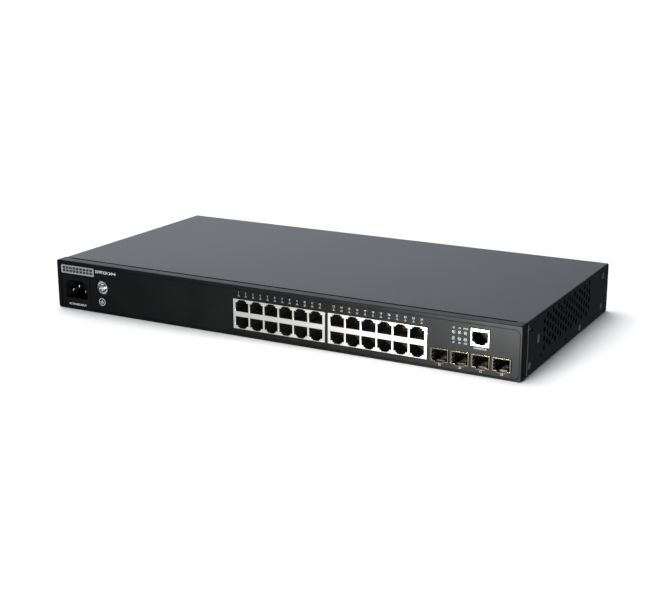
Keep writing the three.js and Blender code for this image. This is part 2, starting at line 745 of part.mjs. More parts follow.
addEnclosure();
addJacks();
addCages();
addInletAndGround();
addMainBoard();
addPowerSupply();
addHarnesses();

export default assembly;
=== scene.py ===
import math
import random

import bmesh
import bpy
from mathutils import Matrix, Vector


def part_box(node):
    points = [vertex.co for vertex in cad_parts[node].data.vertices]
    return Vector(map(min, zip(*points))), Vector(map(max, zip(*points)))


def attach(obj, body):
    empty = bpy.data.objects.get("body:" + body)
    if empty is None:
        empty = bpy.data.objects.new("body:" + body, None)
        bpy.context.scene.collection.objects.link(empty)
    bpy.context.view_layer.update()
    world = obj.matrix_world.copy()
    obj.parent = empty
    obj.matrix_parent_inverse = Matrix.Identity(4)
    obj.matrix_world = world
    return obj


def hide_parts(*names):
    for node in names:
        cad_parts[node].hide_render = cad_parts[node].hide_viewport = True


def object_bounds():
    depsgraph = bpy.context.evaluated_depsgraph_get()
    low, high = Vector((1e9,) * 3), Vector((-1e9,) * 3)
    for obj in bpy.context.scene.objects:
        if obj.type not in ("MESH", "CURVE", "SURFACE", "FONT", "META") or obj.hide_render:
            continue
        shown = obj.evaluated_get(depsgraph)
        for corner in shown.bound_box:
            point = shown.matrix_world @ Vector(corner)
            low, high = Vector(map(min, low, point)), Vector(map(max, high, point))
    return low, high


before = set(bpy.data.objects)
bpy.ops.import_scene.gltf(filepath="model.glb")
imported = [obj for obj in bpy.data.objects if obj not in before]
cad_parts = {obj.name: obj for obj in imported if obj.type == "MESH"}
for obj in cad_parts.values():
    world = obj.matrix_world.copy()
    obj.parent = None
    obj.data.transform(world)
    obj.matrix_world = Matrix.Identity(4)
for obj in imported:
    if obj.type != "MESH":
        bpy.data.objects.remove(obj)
CAD_LOW, CAD_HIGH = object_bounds()

# Shapes are lists of corners and faces in millimetres, in the CAD model's frame. Objects are in metres.
MM = 0.001
SIDES = (("left", -1), ("right", 1))


class Box:
    """A CAD node's box in millimetres: its sides, x0 to z1, and its middle, x, y and z."""

    def __init__(self, node):
        low, high = (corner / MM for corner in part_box(node))
        self.x0, self.y0, self.z0 = low
        self.x1, self.y1, self.z1 = high
        self.x, self.y, self.z = ((a + b) / 2 for a, b in zip(low, high))

    def solid(self):
        return block(self.x0, self.x1, self.y0, self.y1, self.z0, self.z1)

    def holds(self, x, y, room=3):
        """Whether (x, y) is over the box or within that room of it."""
        return self.x0 - room < x < self.x1 + room and self.y0 - room < y < self.y1 + room


# ---------------------------------------------------------------- outlines


def rect(u0, u1, v0, v1):
    return [(u0, v0), (u1, v0), (u1, v1), (u0, v1)]


def rounded(u0, u1, v0, v1, radius, steps=5):
    centres = (
        (u1 - radius, v0 + radius, -90),
        (u1 - radius, v1 - radius, 0),
        (u0 + radius, v1 - radius, 90),
        (u0 + radius, v0 + radius, 180),
    )
    points = []
    for cu, cv, start in centres:
        for i in range(steps + 1):
            a = math.radians(start + 90 * i / steps)
            points.append((cu + radius * math.cos(a), cv + radius * math.sin(a)))
    return points


def circle(u, v, radius, steps=24, start=0.0):
    turn = 2 * math.pi / steps
    return [
        (u + radius * math.cos(start + i * turn), v + radius * math.sin(start + i * turn))
        for i in range(steps)
    ]


def centred(u, v, w, h):
    return rect(u - w / 2, u + w / 2, v - h / 2, v + h / 2)


def turned(outline, u0, v0, angle):
    """The outline turned about (u0, v0)."""
    c, s = math.cos(angle), math.sin(angle)
    return [(u0 + (u - u0) * c - (v - v0) * s, v0 + (u - u0) * s + (v - v0) * c) for u, v in outline]


# ---------------------------------------------------------------- shapes

AXES = {
    "X": lambda u, v, t: (t, u, v),
    "Y": lambda u, v, t: (u, t, v),
    "Z": lambda u, v, t: (u, v, t),
}


def prism(outline, low, high, axis="Y"):
    put = AXES[axis]
    n = len(outline)
    verts = [put(u, v, t) for t in (low, high) for u, v in outline]
    faces = [list(range(n)), list(range(n, 2 * n))]
    faces += [[i, (i + 1) % n, (i + 1) % n + n, i + n] for i in range(n)]
    return verts, faces


def loft(first, second, low, high, axis="Y"):
    """A prism whose outline changes from the first to the second, corner by corner."""
    put = AXES[axis]
    _, faces = prism(first, low, high, axis)
    return [put(u, v, low) for u, v in first] + [put(u, v, high) for u, v in second], faces


def block(x0, x1, y0, y1, z0, z1):
    return prism(rect(x0, x1, y0, y1), z0, z1, "Z")


def bar(axis, along, across, z0, z1):
    """A block that spans along on the axis, X or Y, and across on the other one."""
    return block(*along, *across, z0, z1) if axis == "X" else block(*across, *along, z0, z1)


def leaf(axis, across, y0, y1, level, rise, thick, steps=6):
    """A thin leaf spring along Y that bows from its level. Its width lies along the axis, X or Z."""
    edge = []
    for i in range(steps + 1):
        edge.append((y0 + (y1 - y0) * i / steps, level + rise * math.sin(math.pi * i / steps)))
    outline = edge + [(y, v + thick) for y, v in reversed(edge)]
    if axis == "Z":
        outline = [(v, y) for y, v in outline]
    return prism(outline, *across, axis)


def lathe(profile, steps=32, axis="Z", centre=(0, 0, 0)):
    """Turns a profile of (radius, height), which ends on the axis or where it began, about an axis."""
    put = AXES[axis]
    verts, rings, faces = [], [], []
    closed = profile[0] == profile[-1]
    for radius, t in profile[:-1] if closed else profile:
        if radius < 1e-6:
            rings.append([len(verts)])
            verts.append(put(0, 0, t))
        else:
            rings.append(list(range(len(verts), len(verts) + steps)))
            verts += [put(u, v, t) for u, v in circle(0, 0, radius, steps)]
    if closed:
        rings.append(rings[0])
    for a, b in zip(rings, rings[1:]):
        for i in range(steps):
            j = (i + 1) % steps
            face = [a[i % len(a)], a[j % len(a)], b[j % len(b)], b[i % len(b)]]
            faces.append([f for k, f in enumerate(face) if f not in face[:k]])
    return [tuple(c + d for c, d in zip(v, centre)) for v in verts], faces


def wire(points, radius, sides=8):
    """A round wire along a list of points, with flat ends."""
    path = [Vector(p) for p in points]
    side = Vector((0.31, 0.17, 0.93))
    verts, faces = [], []
    for i, p in enumerate(path):
        ahead = path[min(i + 1, len(path) - 1)] - path[max(i - 1, 0)]
        across = ahead.cross(side).normalized()
        side = across.cross(ahead).normalized()
        for u, v in circle(0, 0, radius, sides):
            verts.append(tuple(p + across * u + side * v))
    for i in range(len(path) - 1):
        for k in range(sides):
            a, b = i * sides + k, i * sides + (k + 1) % sides
            faces.append([a, b, b + sides, a + sides])
    last = (len(path) - 1) * sides
    faces.append(list(range(sides)))
    faces.append(list(range(last, last + sides)))
    return verts, faces


# ---------------------------------------------------------------- objects


def add_object(name, data):
    made = bpy.data.objects.new(name, data)
    bpy.context.scene.collection.objects.link(made)
    return made


def make(name, shapes):
    verts, faces = [], []
    for shape_verts, shape_faces in shapes:
        start = len(verts)
        verts += [Vector(v) * MM for v in shape_verts]
        faces += [[start + i for i in face] for face in shape_faces]
    mesh = bpy.data.meshes.new(name)
    mesh.from_pydata(verts, [], faces)
    work = bmesh.new()
    work.from_mesh(mesh)
    bmesh.ops.recalc_face_normals(work, faces=work.faces)
    work.to_mesh(mesh)
    work.free()
    return add_object(name, mesh)


def settle(piece):
    """Turns a piece's modifiers into mesh."""
    graph = bpy.context.evaluated_depsgraph_get()
    mesh = bpy.data.meshes.new_from_object(piece.evaluated_get(graph))
    old = piece.data
    piece.modifiers.clear()
    piece.data = mesh
    bpy.data.meshes.remove(old)


def boolean(piece, shapes, operation="DIFFERENCE"):
    """Joins or cuts with shapes that don't overlap each other."""
    tool = make("tool", shapes)
    step = piece.modifiers.new("boolean", "BOOLEAN")
    step.object = tool
    step.operation = operation
    step.solver = "MANIFOLD"
    settle(piece)
    bpy.data.objects.remove(tool)
    return piece


def cut_cross(piece, u, v, length, width, angle, low, high, axis="Y"):
    """Cuts a cross recess centred on (u, v), from low to high along the axis."""
    for turn in (angle, angle + 90):
        arm = turned(centred(u, v, length, width), u, v, math.radians(turn))
        boolean(piece, [prism(arm, low, high, axis)])


def soften(piece, width, segments=2, angle=40.0):
    """Rounds the piece's sharp edges."""
    step = piece.modifiers.new("bevel", "BEVEL")
    step.width = width * MM
    step.segments = segments
    step.limit_method = "ANGLE"
    step.angle_limit = math.radians(angle)
    step.use_clamp_overlap = True
    settle(piece)
    return piece


def dress(piece, material, replaces=(), body="chassis", smooth=35.0, slot=None):
    """Gives a piece its material, smooth shading and body. The slot argument is not used."""
    piece.data.materials.clear()
    piece.data.materials.append(material)
    piece.data.shade_smooth()
    piece.data.set_sharp_from_angle(angle=math.radians(smooth))
    piece.modifiers.new("normals", "WEIGHTED_NORMAL").keep_sharp = True
    settle(piece)
    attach(piece, body)
    if replaces:
        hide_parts(*replaces)
    return piece


def part(name, shapes, material, bevel=None, **how):
    """Makes and dresses a piece whose edges may be rounded by a bevel of (width, segments)."""
    piece = make(name, shapes)
    if bevel:
        soften(piece, *bevel)
    return dress(piece, material, **how)


def repaint(node, material):
    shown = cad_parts[node]
    shown.data.materials.clear()
    shown.data.materials.append(material)


# ---------------------------------------------------------------- material nodes

# The sockets that a Mix node uses for colours.
MIX_FACTOR, MIX_A, MIX_B, MIX_RESULT = 0, 6, 7, 2


def add_node(tree, kind, output, inputs, **settings):
    """Adds a node and returns one of its outputs. inputs are values or sockets, by name or number."""
    node = tree.nodes.new("ShaderNode" + kind)
    for name, value in settings.items():
        setattr(node, name, value)
    for key, value in inputs.items():
        if isinstance(value, bpy.types.NodeSocket):
            tree.links.new(value, node.inputs[key])
        else:
            node.inputs[key].default_value = value
    return node.outputs[output]


class Finish:
    """One procedural material on a Principled shader, in object coordinates."""

    def __init__(self, name, metallic=0.0, specular=0.5):
        self.material = bpy.data.materials.new(name)
        self.material.use_nodes = True
        self.tree = self.material.node_tree
        self.shader = self.tree.nodes["Principled BSDF"]
        self.set("Metallic", metallic)
        self.set("Specular IOR Level", specular)
        self.coords = self.add("TexCoord", "Object", {})

    def add(self, kind, output, inputs, **settings):
        return add_node(self.tree, kind, output, inputs, **settings)

    def set(self, name, value):
        self.shader.inputs[name].default_value = value

    def noise(self, scale, detail, rough=0.5, stretch=None):
        where = self.coords
        if stretch:
            where = self.add("Mapping", "Vector", {"Vector": where, "Scale": stretch})
        inputs = {"Vector": where, "Scale": scale, "Detail": detail, "Roughness": rough}
        return self.add("TexNoise", "Fac", inputs)

    def cells(self, scale, output="Distance"):
        return self.add("TexVoronoi", output, {"Vector": self.coords, "Scale": scale})

    def wave(self, scale, distortion, direction):
        inputs = {"Vector": self.coords, "Scale": scale, "Distortion": distortion}
        return self.add("TexWave", "Fac", inputs, bands_direction=direction)

    def range(self, value, low, high, start=0.0, end=1.0):
        """Goes from low to high as the value goes from start to end."""
        inputs = {"Value": value, "From Min": start, "From Max": end, "To Min": low, "To Max": high}
        return self.add("MapRange", "Result", inputs)

    def times(self, a, b):
        return self.add("Math", "Value", {0: a, 1: b}, operation="MULTIPLY")

    def mix(self, factor, a, b):
        """Mixes two colours, each a socket or (r, g, b)."""
        a, b = ((*colour, 1) if isinstance(colour, tuple) else colour for colour in (a, b))
        return self.add("Mix", MIX_RESULT, {MIX_FACTOR: factor, MIX_A: a, MIX_B: b}, data_type="RGBA")

    def tones(self, value, dark, light):
        """Mixes two colours with more contrast than the noise has."""
        return self.mix(self.range(value, 0.0, 1.0, 0.3, 0.7), dark, light)

    def paint(self, colour, roughness, relief, height, strength):
        """Joins the sockets to the shader. The relief's height is in millimetres."""
        inputs = {"Height": relief, "Distance": height * MM, "Strength": strength}
        normal = self.add("Bump", "Normal", inputs)
        for name, socket in (("Base Color", colour), ("Roughness", roughness), ("Normal", normal)):
            self.tree.links.new(socket, self.shader.inputs[name])
        return self.material


def powder_coat():
    f = Finish("powder_coat", specular=0.15)
    specks = f.range(f.noise(650, 3), 0.0, 0.5, 0.66, 0.76)
    worn = f.times(specks, f.range(f.noise(24, 2), 0.0, 1.0, 0.5, 0.7))
    coat = f.tones(f.noise(14, 3), (0.0066, 0.0070, 0.0083), (0.0074, 0.0079, 0.0093))
    colour = f.mix(worn, coat, (0.022, 0.023, 0.026))
    return f.paint(colour, f.range(f.noise(11, 3), 0.40, 0.42), f.noise(1500, 2), 0.003, 0.15)


def moulded_black(name="moulded_black", tone=0.0028, roughness=0.44, specular=0.10):
    f = Finish(name, specular=specular)
    colour = f.tones(
        f.noise(40, 3), (tone, tone * 1.03, tone * 1.02), (tone * 1.6, tone * 1.65, tone * 1.65))
    gloss = f.range(f.noise(90, 4), roughness - 0.05, roughness + 0.06)
    return f.paint(colour, gloss, f.noise(2200, 2), 0.006, 0.5)


def galvanised():
    f = Finish("galvanised", metallic=0.92)
    flake = f.add("SeparateColor", "Red", {"Color": f.cells(190, "Color")})
    colour = f.mix(f.noise(60, 4), (0.66, 0.68, 0.70), (0.77, 0.79, 0.80))
    return f.paint(colour, f.range(flake, 0.30, 0.46), f.noise(900, 3), 0.004, 0.4)


def sheet_metal(name, dark, light, roughness, stretch=(3, 90, 90)):
    f = Finish(name, metallic=1.0)
    streaks = f.noise(30, 4, 0.6, stretch)
    gloss = f.range(streaks, roughness - 0.07, roughness + 0.09)
    return f.paint(f.mix(f.noise(140, 4), dark, light), gloss, streaks, 0.003, 0.5)


def circuit_board():
    f = Finish("circuit_board")
    lines = f.times(f.wave(420, 3.0, "X"), f.wave(420, 3.0, "Y"))
    tracks = f.range(lines, 0.0, 1.0, 0.52, 0.6)
    pads = f.range(f.cells(330), 1.0, 0.0, 0.10, 0.13)
    mask = f.mix(tracks, (0.004, 0.045, 0.018), (0.008, 0.085, 0.034))
    sparse = f.times(pads, f.range(f.noise(70, 2), 0.0, 1.0, 0.52, 0.56))
    colour = f.mix(sparse, mask, (0.62, 0.60, 0.52))
    return f.paint(colour, f.range(f.noise(200, 3), 0.28, 0.42), tracks, 0.03, 0.5)


def chip_resin():
    f = Finish("chip_resin", specular=0.4)
    colour = f.tones(f.noise(600, 4), (0.010, 0.010, 0.011), (0.02, 0.02, 0.021))
    return f.paint(colour, f.range(f.noise(900, 3), 0.5, 0.66), f.noise(3000, 2), 0.01, 0.5)


def mottled(name, colour, gloss, relief, metallic=0.0, specular=0.5, **extras):
    """Two tones, uneven gloss and a fine relief, each over a noise of its own.

    colour is (scale, detail, dark, light), gloss is (scale, detail, low, high) and relief is
    (scale, detail, height, strength). extras are more of the shader's inputs, with _ for a space.
    """
    f = Finish(name, metallic, specular)
    for key, value in extras.items():
        f.set(key.replace("_", " "), value)
    mixed = f.mix(f.noise(*colour[:2]), *colour[2:])
    return f.paint(mixed, f.range(f.noise(*gloss[:2]), *gloss[2:]), f.noise(*relief[:2]), *relief[2:])


def plain(name, dark, light, roughness, scale=300, bump=0.01, metallic=0.0):
    gloss = (scale * 1.7, 3, roughness - 0.06, roughness + 0.08)
    return mottled(name, (scale, 4, dark, light), gloss, (scale * 5, 2, bump, 0.5), metallic)


def milky_lens(name, dark, light):
    return mottled(
        name, (500, 3, dark, light), (800, 2, 0.18, 0.3), (900, 2, 0.004, 0.3), specular=0.3,
        Subsurface_Weight=0.25, Subsurface_Scale=MM)


PAINT = powder_coat()
BEZEL = moulded_black()
HOUSING = moulded_black("housing_black", 0.003, 0.45, 0.12)
ZINC = galvanised()
NICKEL = sheet_metal("nickel_plate", (0.70, 0.67, 0.59), (0.79, 0.76, 0.68), 0.33)
TIN = sheet_metal("tin_plate", (0.13, 0.12, 0.08), (0.20, 0.185, 0.125), 0.2)
SPRING = sheet_metal("spring_steel", (0.50, 0.49, 0.44), (0.62, 0.61, 0.56), 0.34, (40, 4, 40))
ALUMINIUM = sheet_metal("fin_aluminium", (0.46, 0.47, 0.48), (0.58, 0.59, 0.60), 0.36, (90, 90, 4))
PLATE = sheet_metal("plate_finish", (0.58, 0.58, 0.59), (0.68, 0.68, 0.69), 0.40, (3, 60, 60))
STEEL = mottled(
    "turned_metal", (400, 4, (0.66, 0.67, 0.68), (0.78, 0.78, 0.77)), (700, 3, 0.2, 0.36),
    (1800, 2, 0.003, 0.4), 1.0)
GOLD = mottled(
    "gold_contact", (500, 3, (0.42, 0.36, 0.24), (0.52, 0.45, 0.31)), (900, 2, 0.18, 0.32),
    (1500, 2, 0.002, 0.3), 1.0)
COPPER = mottled(
    "wound_copper", (300, 3, (0.50, 0.17, 0.05), (0.66, 0.27, 0.09)), (500, 3, 0.22, 0.36),
    (900, 2, 0.004, 0.3), 0.9)
GUIDE = mottled(
    "clear_guide", (300, 3, (0.82, 0.90, 0.86), (0.92, 0.97, 0.94)), (500, 2, 0.08, 0.22),
    (400, 2, 0.004, 0.3), Transmission_Weight=0.75, IOR=1.58)
FLOOR = mottled(
    "floor_finish", (1.2, 3, (0.90, 0.90, 0.90), (0.925, 0.925, 0.925)), (6, 3, 0.7, 0.85),
    (60, 3, 0.05, 0.2), specular=0.2)
LENS = milky_lens("milky_lens", (0.060, 0.10, 0.08), (0.08, 0.13, 0.105))
DIM_LENS = milky_lens("smoked_lens", (0.055, 0.062, 0.058), (0.08, 0.088, 0.082))
BOARD = circuit_board()
RESIN = chip_resin()
PIN = plain("pin_metal", (0.66, 0.62, 0.52), (0.78, 0.75, 0.66), 0.25, 500, 0.003, 1.0)
FERRITE = plain("ferrite", (0.028, 0.026, 0.024), (0.05, 0.046, 0.042), 0.6, 400, 0.03)
TAPE = plain("winding_tape", (0.72, 0.50, 0.07), (0.82, 0.60, 0.12), 0.3, 200)
SLEEVE = plain("can_sleeve", (0.012, 0.022, 0.06), (0.02, 0.034, 0.085), 0.28, 120, 0.006)
NYLON = plain("natural_nylon", (0.70, 0.67, 0.56), (0.80, 0.77, 0.67), 0.42, 250, 0.008)
PVC = plain("cable_sleeve", (0.011, 0.011, 0.012), (0.02, 0.02, 0.021), 0.5, 350, 0.02)
RED_PVC = plain("wire_red", (0.30, 0.012, 0.010), (0.42, 0.02, 0.016), 0.42, 250)
BLUE_PVC = plain("wire_blue", (0.012, 0.05, 0.26), (0.02, 0.07, 0.34), 0.42, 250)
GREEN_PVC = plain("wire_green", (0.02, 0.20, 0.05), (0.30, 0.34, 0.02), 0.42, 120)
PRINT = plain("white_print", (0.50, 0.51, 0.51), (0.62, 0.63, 0.63), 0.55, 800, 0.004)
GREY_PRINT = plain("grey_print", (0.12, 0.122, 0.122), (0.17, 0.172, 0.172), 0.55, 800, 0.004)
# Dark tone for the name plate's printed cells, and painted shade on each bay's latch tab.
INLAY_AND_PAINTED_SHADE = plain("dark_inlay_and_painted_shade", (0.010, 0.010, 0.011), (0.018, 0.018, 0.019), 0.5, 300, 0.006)
DARK_STEEL = plain("zinc_black_steel", (0.50, 0.50, 0.505), (0.62, 0.62, 0.625), 0.42, 400, 0.004, 1.0)
CERAMIC = plain("ceramic", (0.40, 0.33, 0.24), (0.52, 0.44, 0.33), 0.5, 900, 0.006)
SOLDER = plain("solder", (0.55, 0.56, 0.57), (0.70, 0.71, 0.72), 0.3, 900, 0.02, 1.0)

# ---------------------------------------------------------------- driving dimensions, millimetres

BEZEL_BOX, COVER_BOX = Box("front_bezel"), Box("top_cover")
FRONT, BACK = BEZEL_BOX.y0, COVER_BOX.y1
BEZEL_BACK = BEZEL_BOX.y1
HALF_WIDTH, HEIGHT = BEZEL_BOX.x1, BEZEL_BOX.z1
RECESS = 1.4
PLATE_THICK = 2.2
FACE = FRONT + RECESS
PLATE_BACK = FACE + PLATE_THICK
RIM_SIDE, RIM_TOP, RIM_BOTTOM, RECESS_ROUND = 2.3, 3.8, 1.8, 4.0
BEZEL_WALL, BEZEL_TOP_WALL = 1.5, 2.2
BEZEL_CORNER, BEZEL_ROUND, RECESS_BEVEL = 2.0, 0.8, 0.65
GROOVE_INSET, GROOVE_WIDTH, GROOVE_DEPTH = 8.0, 3.4, 1.3

SHEET = 1.0
BEND = 1.6
LIP = 11.0
COLLAR_BACK = BEZEL_BACK + 2.6

VENT_COLUMNS, VENT_ROWS = 18, 4
VENT_PITCH_Y, VENT_PITCH_Z = 6.7, 7.2
VENT_RADIUS = 2.35
VENT_FIRST_Y, VENT_FIRST_Z = -59.0, 13.6
SCREW_SPOTS = ((-91, 8), (33, 5), (93, 8.6), (94, 36))
SIDE_HOLES = ((-65, 9.5), (-5, 4.7))
SIDE_SLOT = (-71.8, 24.2, 6.4, 7.6)
CLIP_WINDOW = (-90.5, 36.4, 6.5, 3.6)
SCREW_HEAD = 2.9

PORT_PITCH, PORT_WIDTH, PORT_HEIGHT = 13.97, 11.7, 7.05
PORT_STEPS = ((8.0, 1.4), (5.2, 1.35))
PORT_COLUMNS = 6
SKIN = 0.5
SOCKET = 16.0
LOWER_PORT, UPPER_PORT = 3.15, 15.3
CONSOLE_PORT, CONSOLE_TRIM, CONSOLE_EASE = 3.8, 0.65, 0.75
WINDOW_EASE = 0.42

LAMP_HEIGHT, LAMP_SIDE = 34.8, 2.5
STATUS_RADIUS = 1.3
BAYS = 4
CAGE_TAB, CAGE_STEP = 4, 1.5
LEAF = 0.12
INLET_WIDTH, INLET_HEIGHT = 26, 20
NUMBER_SIZE, NAME_SIZE = 1.7, 1.35


def port_outline(x, z, side, ease=0.0):
    """A modular-jack opening, widened by ease; its latch notch points up for side 1 and down for -1."""
    half = PORT_WIDTH / 2 + ease
    edge = z + PORT_HEIGHT + ease if side > 0 else z - ease
    far = z - ease if side > 0 else z + PORT_HEIGHT + ease
    first = edge + side * PORT_STEPS[0][1]
    second = first + side * (PORT_STEPS[1][1] - ease)
    wide, narrow = PORT_STEPS[0][0] / 2 + ease, PORT_STEPS[1][0] / 2 + ease
    right = [(half, far), (half, edge), (wide, edge), (wide, first), (narrow, first), (narrow, second)]
    return [(x + u, v) for u, v in right] + [(x - u, v) for u, v in reversed(right)]


def port_columns(box):
    return [box.x + (i - (PORT_COLUMNS - 1) / 2) * PORT_PITCH for i in range(PORT_COLUMNS)]


def lamp_columns(box):
    count = 2 * PORT_COLUMNS
    return [box.x + (i - (count - 1) / 2) * PORT_PITCH / 2 for i in range(count)]


def lamp_outline(x, radius):
    """A triangle with one corner up."""
    return circle(x, LAMP_HEIGHT, radius, 3, math.pi / 2)


def status_spots():
    """The six lamps: three columns by two rows, from the light guide's box."""
    box = Box("status_light_guide")
    columns = [box.x0 + 2.0, box.x, box.x1 - 2.0]
    rows = [box.z1 - 2.0 - 5.1, box.z1 - 2.0]
    return [(x, z) for x in columns for z in rows]


# ---------------------------------------------------------------- enclosure


def make_cover():
    """The folded cover, with its round vents, slots and countersunk screw seats."""
    half, top, bottom = COVER_BOX.x1, COVER_BOX.z1, COVER_BOX.z0
    front = COVER_BOX.y0
    outer = [p for p in rounded(-half, half, bottom - 8, top, BEND, 6) if p[1] > bottom + 1]
    outline = [*outer, (-half, bottom), (half, bottom)]
    cover = make("cover_shell", [prism(outline, front, BACK)])
    inside = half - SHEET
    boolean(cover, [block(-inside, inside, front - 1, BACK - SHEET, bottom - 1, top - SHEET)])
    boolean(cover, [block(-inside, inside, BACK - 2 * SHEET, BACK + 1, bottom - 1, top - LIP)])
    for _, s in SIDES:
        x0, x1 = sorted((s * (half - 3), s * (half + 3)))
        boolean(cover, [block(x0, x1, front - 1, COLLAR_BACK, bottom - 1, top - BEND)])
        cuts = [prism(centred(*SIDE_SLOT), x0, x1, "X"), prism(centred(*CLIP_WINDOW), x0, x1, "X")]
        cuts += [prism(circle(y, z, 1.7, 20), x0, x1, "X") for y, z in SIDE_HOLES]
        cuts += [prism(circle(y, z, SCREW_HEAD + 0.12, 28), x0, x1, "X") for y, z in SCREW_SPOTS]
        cuts += [prism(circle(y, z, VENT_RADIUS, 18), x0, x1, "X") for y, z in vent_spots()]
        boolean(cover, cuts)
    soften(cover, 0.12, 1, 50)
    dress(cover, PAINT, ["top_cover"], "cover")
    y, z, w, h = SIDE_SLOT
    for side, s in SIDES:
        x0, x1 = sorted((s * (half - 0.75), s * (half - 0.35)))
        part(
            f"cover_slot_plate_{side}", [prism(centred(y, z, w - 0.02, h - 0.02), x0, x1, "X")],
            DARK_STEEL, (0.1, 1), body="cover")


def vent_spots():
    for column in range(VENT_COLUMNS):
        rise = (column % 2) * VENT_PITCH_Z / 2
        for row in range(VENT_ROWS):
            yield VENT_FIRST_Y + column * VENT_PITCH_Y, VENT_FIRST_Z + rise + row * VENT_PITCH_Z


def make_cover_screws():
    """Flush countersunk heads with a cross recess."""
    for side, s in SIDES:
        for i, (y, z) in enumerate(SCREW_SPOTS):
            node = f"cover_screw_{side}_{i + 1}"
            box = Box(node)
            inner, outer = (box.x0, box.x1) if s > 0 else (box.x1, box.x0)
            profile = [
                (0, inner), (1.5, inner), (SCREW_HEAD, inner + s * 0.66), (SCREW_HEAD, outer - s * 0.1),
                (SCREW_HEAD - 0.15, outer), (0, outer),
            ]
            head = make(f"cover_screw_head_{side}_{i + 1}", [lathe(profile, 32, "X", (0, y, z))])
            cut_cross(head, y, z, 3.0, 0.62, 20 + 35 * i, *sorted((outer - s * 0.55, outer + s)), "X")
            dress(head, DARK_STEEL, [node], "cover", 30)


def make_bezel():
    """The moulded front: a rounded rim round a recessed face with all its openings."""
    outline = rounded(-HALF_WIDTH, HALF_WIDTH, 0, HEIGHT, BEZEL_CORNER, 5)
    bezel = make("bezel_moulding", [prism(outline, FRONT, BEZEL_BACK)])
    soften(bezel, BEZEL_ROUND, 4, 60)
    recess = recess_outline(0)
    boolean(bezel, [loft(recess_outline(RECESS_BEVEL * 1.6), recess, FRONT - 0.3, FRONT + 0.5)])
    boolean(bezel, [prism(recess, FRONT - 1, FACE)])
    boolean(bezel, [block(
        -HALF_WIDTH + BEZEL_WALL, HALF_WIDTH - BEZEL_WALL, PLATE_BACK, BEZEL_BACK + 1,
        BEZEL_TOP_WALL, HEIGHT - BEZEL_TOP_WALL,
    )])
    boolean(bezel, [block(
        -HALF_WIDTH + GROOVE_INSET, HALF_WIDTH - GROOVE_INSET, BEZEL_BACK - GROOVE_WIDTH, BEZEL_BACK + 1,
        HEIGHT - GROOVE_DEPTH, HEIGHT + 1,
    )])
    boolean(bezel, [prism(outline, FRONT - 1, PLATE_BACK + 1) for outline in bezel_openings()])
    soften(bezel, 0.22, 2, 50)
    dress(bezel, BEZEL, ["front_bezel"])


def recess_outline(grow):
    """The recess in the bezel's face, made larger all round by grow."""
    right, bottom, top = HALF_WIDTH - RIM_SIDE + grow, RIM_BOTTOM - grow, HEIGHT - RIM_TOP + grow
    return rounded(-right, right, bottom, top, RECESS_ROUND + grow, 6)


def bezel_openings():
    """Outlines of the holes in the bezel's face, each clear of the part that fills it."""
    room = 0.25
    outlines = []
    for side, _ in SIDES:
        box = Box(f"port_block_{side}_shield")
        outlines.append(rect(box.x0 - room, box.x1 + room, box.z0 - room, box.z1 + room))
        outlines += [lamp_outline(x, LAMP_SIDE * 0.68) for x in lamp_columns(box)]
    box = Box("console_port_shield")
    inset = CONSOLE_TRIM - 0.4
    outlines.append(rect(box.x0 + inset, box.x1 - inset, box.z0 - room, box.z1 - inset))
    outlines += [circle(x, z, STATUS_RADIUS + room, 20) for x, z in status_spots()]
    for i in range(BAYS):
        box = Box(f"optics_cage_{i + 1}")
        tab, floor = CAGE_TAB + room, box.z0 + CAGE_STEP
        left, right, middle = box.x0 - room, box.x1 + room, box.x
        outlines.append([
            (middle - tab, box.z0 - room), (middle + tab, box.z0 - room), (middle + tab, floor - room),
            (right, floor - room), (right, box.z1 + room), (left, box.z1 + room), (left, floor - room),
            (middle - tab, floor - room),
        ])
    box = Box("inlet_housing")
    x, z = box.x, box.z
    outlines.append(centred(x, z, INLET_WIDTH + 2 * room, INLET_HEIGHT + 2 * room))
    box = Box("ground_washer")
    outlines.append(circle(box.x, box.z, 6.5, 36))
    return outlines


def make_base():
    """The bare-metal base, and the strips of it that show between the bezel and the cover's sides."""
    repaint("chassis_base", ZINC)
    outer, bottom, top = COVER_BOX.x1 - 0.1, COVER_BOX.z0 + 0.6, COVER_BOX.z1 - BEND - 0.4
    strips = []
    for _, s in SIDES:
        x0, x1 = sorted((s * (outer - 0.8), s * outer))
        strips.append(block(x0, x1, BEZEL_BACK + 0.05, COLLAR_BACK - 0.15, bottom, top))
    part("chassis_collar_strips", strips, ZINC, (0.1, 1))


# ---------------------------------------------------------------- ports


def make_jack(name, shield_node, housing_node, columns, rows, ease=WINDOW_EASE, trim=0.0):
    """A shielded jack, single or ganged. rows are (height above the shield's bottom, notch side).

    ease widens the shield's windows, and trim takes a little off the jack's sides and top.
    """
    box = Box(shield_node)
    left, right, top = box.x0 + trim, box.x1 - trim, box.z1 - trim
    shell = make(f"{name}_shell", [block(left, right, box.y0, box.y1, box.z0, top)])
    boolean(shell, [block(
        left + SKIN, right - SKIN, box.y0 + SKIN, box.y1 - SKIN, box.z0 - 1, top - SKIN,
    )])
    mouths = [port_outline(x, box.z0 + z, side) for x in columns for z, side in rows]
    windows = [port_outline(x, box.z0 + z, side, ease) for x in columns for z, side in rows]
    boolean(shell, [prism(w, box.y0 - 1, box.y0 + SKIN + 0.5) for w in windows])
    soften(shell, 0.1, 2, 50)
    dress(shell, NICKEL, [shield_node])
    inner = Box(housing_node)
    core = make(f"{name}_core", [block(
        inner.x0 + trim, inner.x1 - trim, inner.y0, inner.y1, inner.z0, inner.z1 - trim,
    )])
    boolean(core, [prism(m, inner.y0 - 1, box.y0 + SOCKET) for m in mouths])
    soften(core, 0.1, 1, 50)
    dress(core, HOUSING, [housing_node])
    wires = []
    for x in columns:
        for z, side in rows:
            wires += jack_contacts(x, box.y0, box.z0 + z, side)
    part(f"{name}_contacts", wires, GOLD)


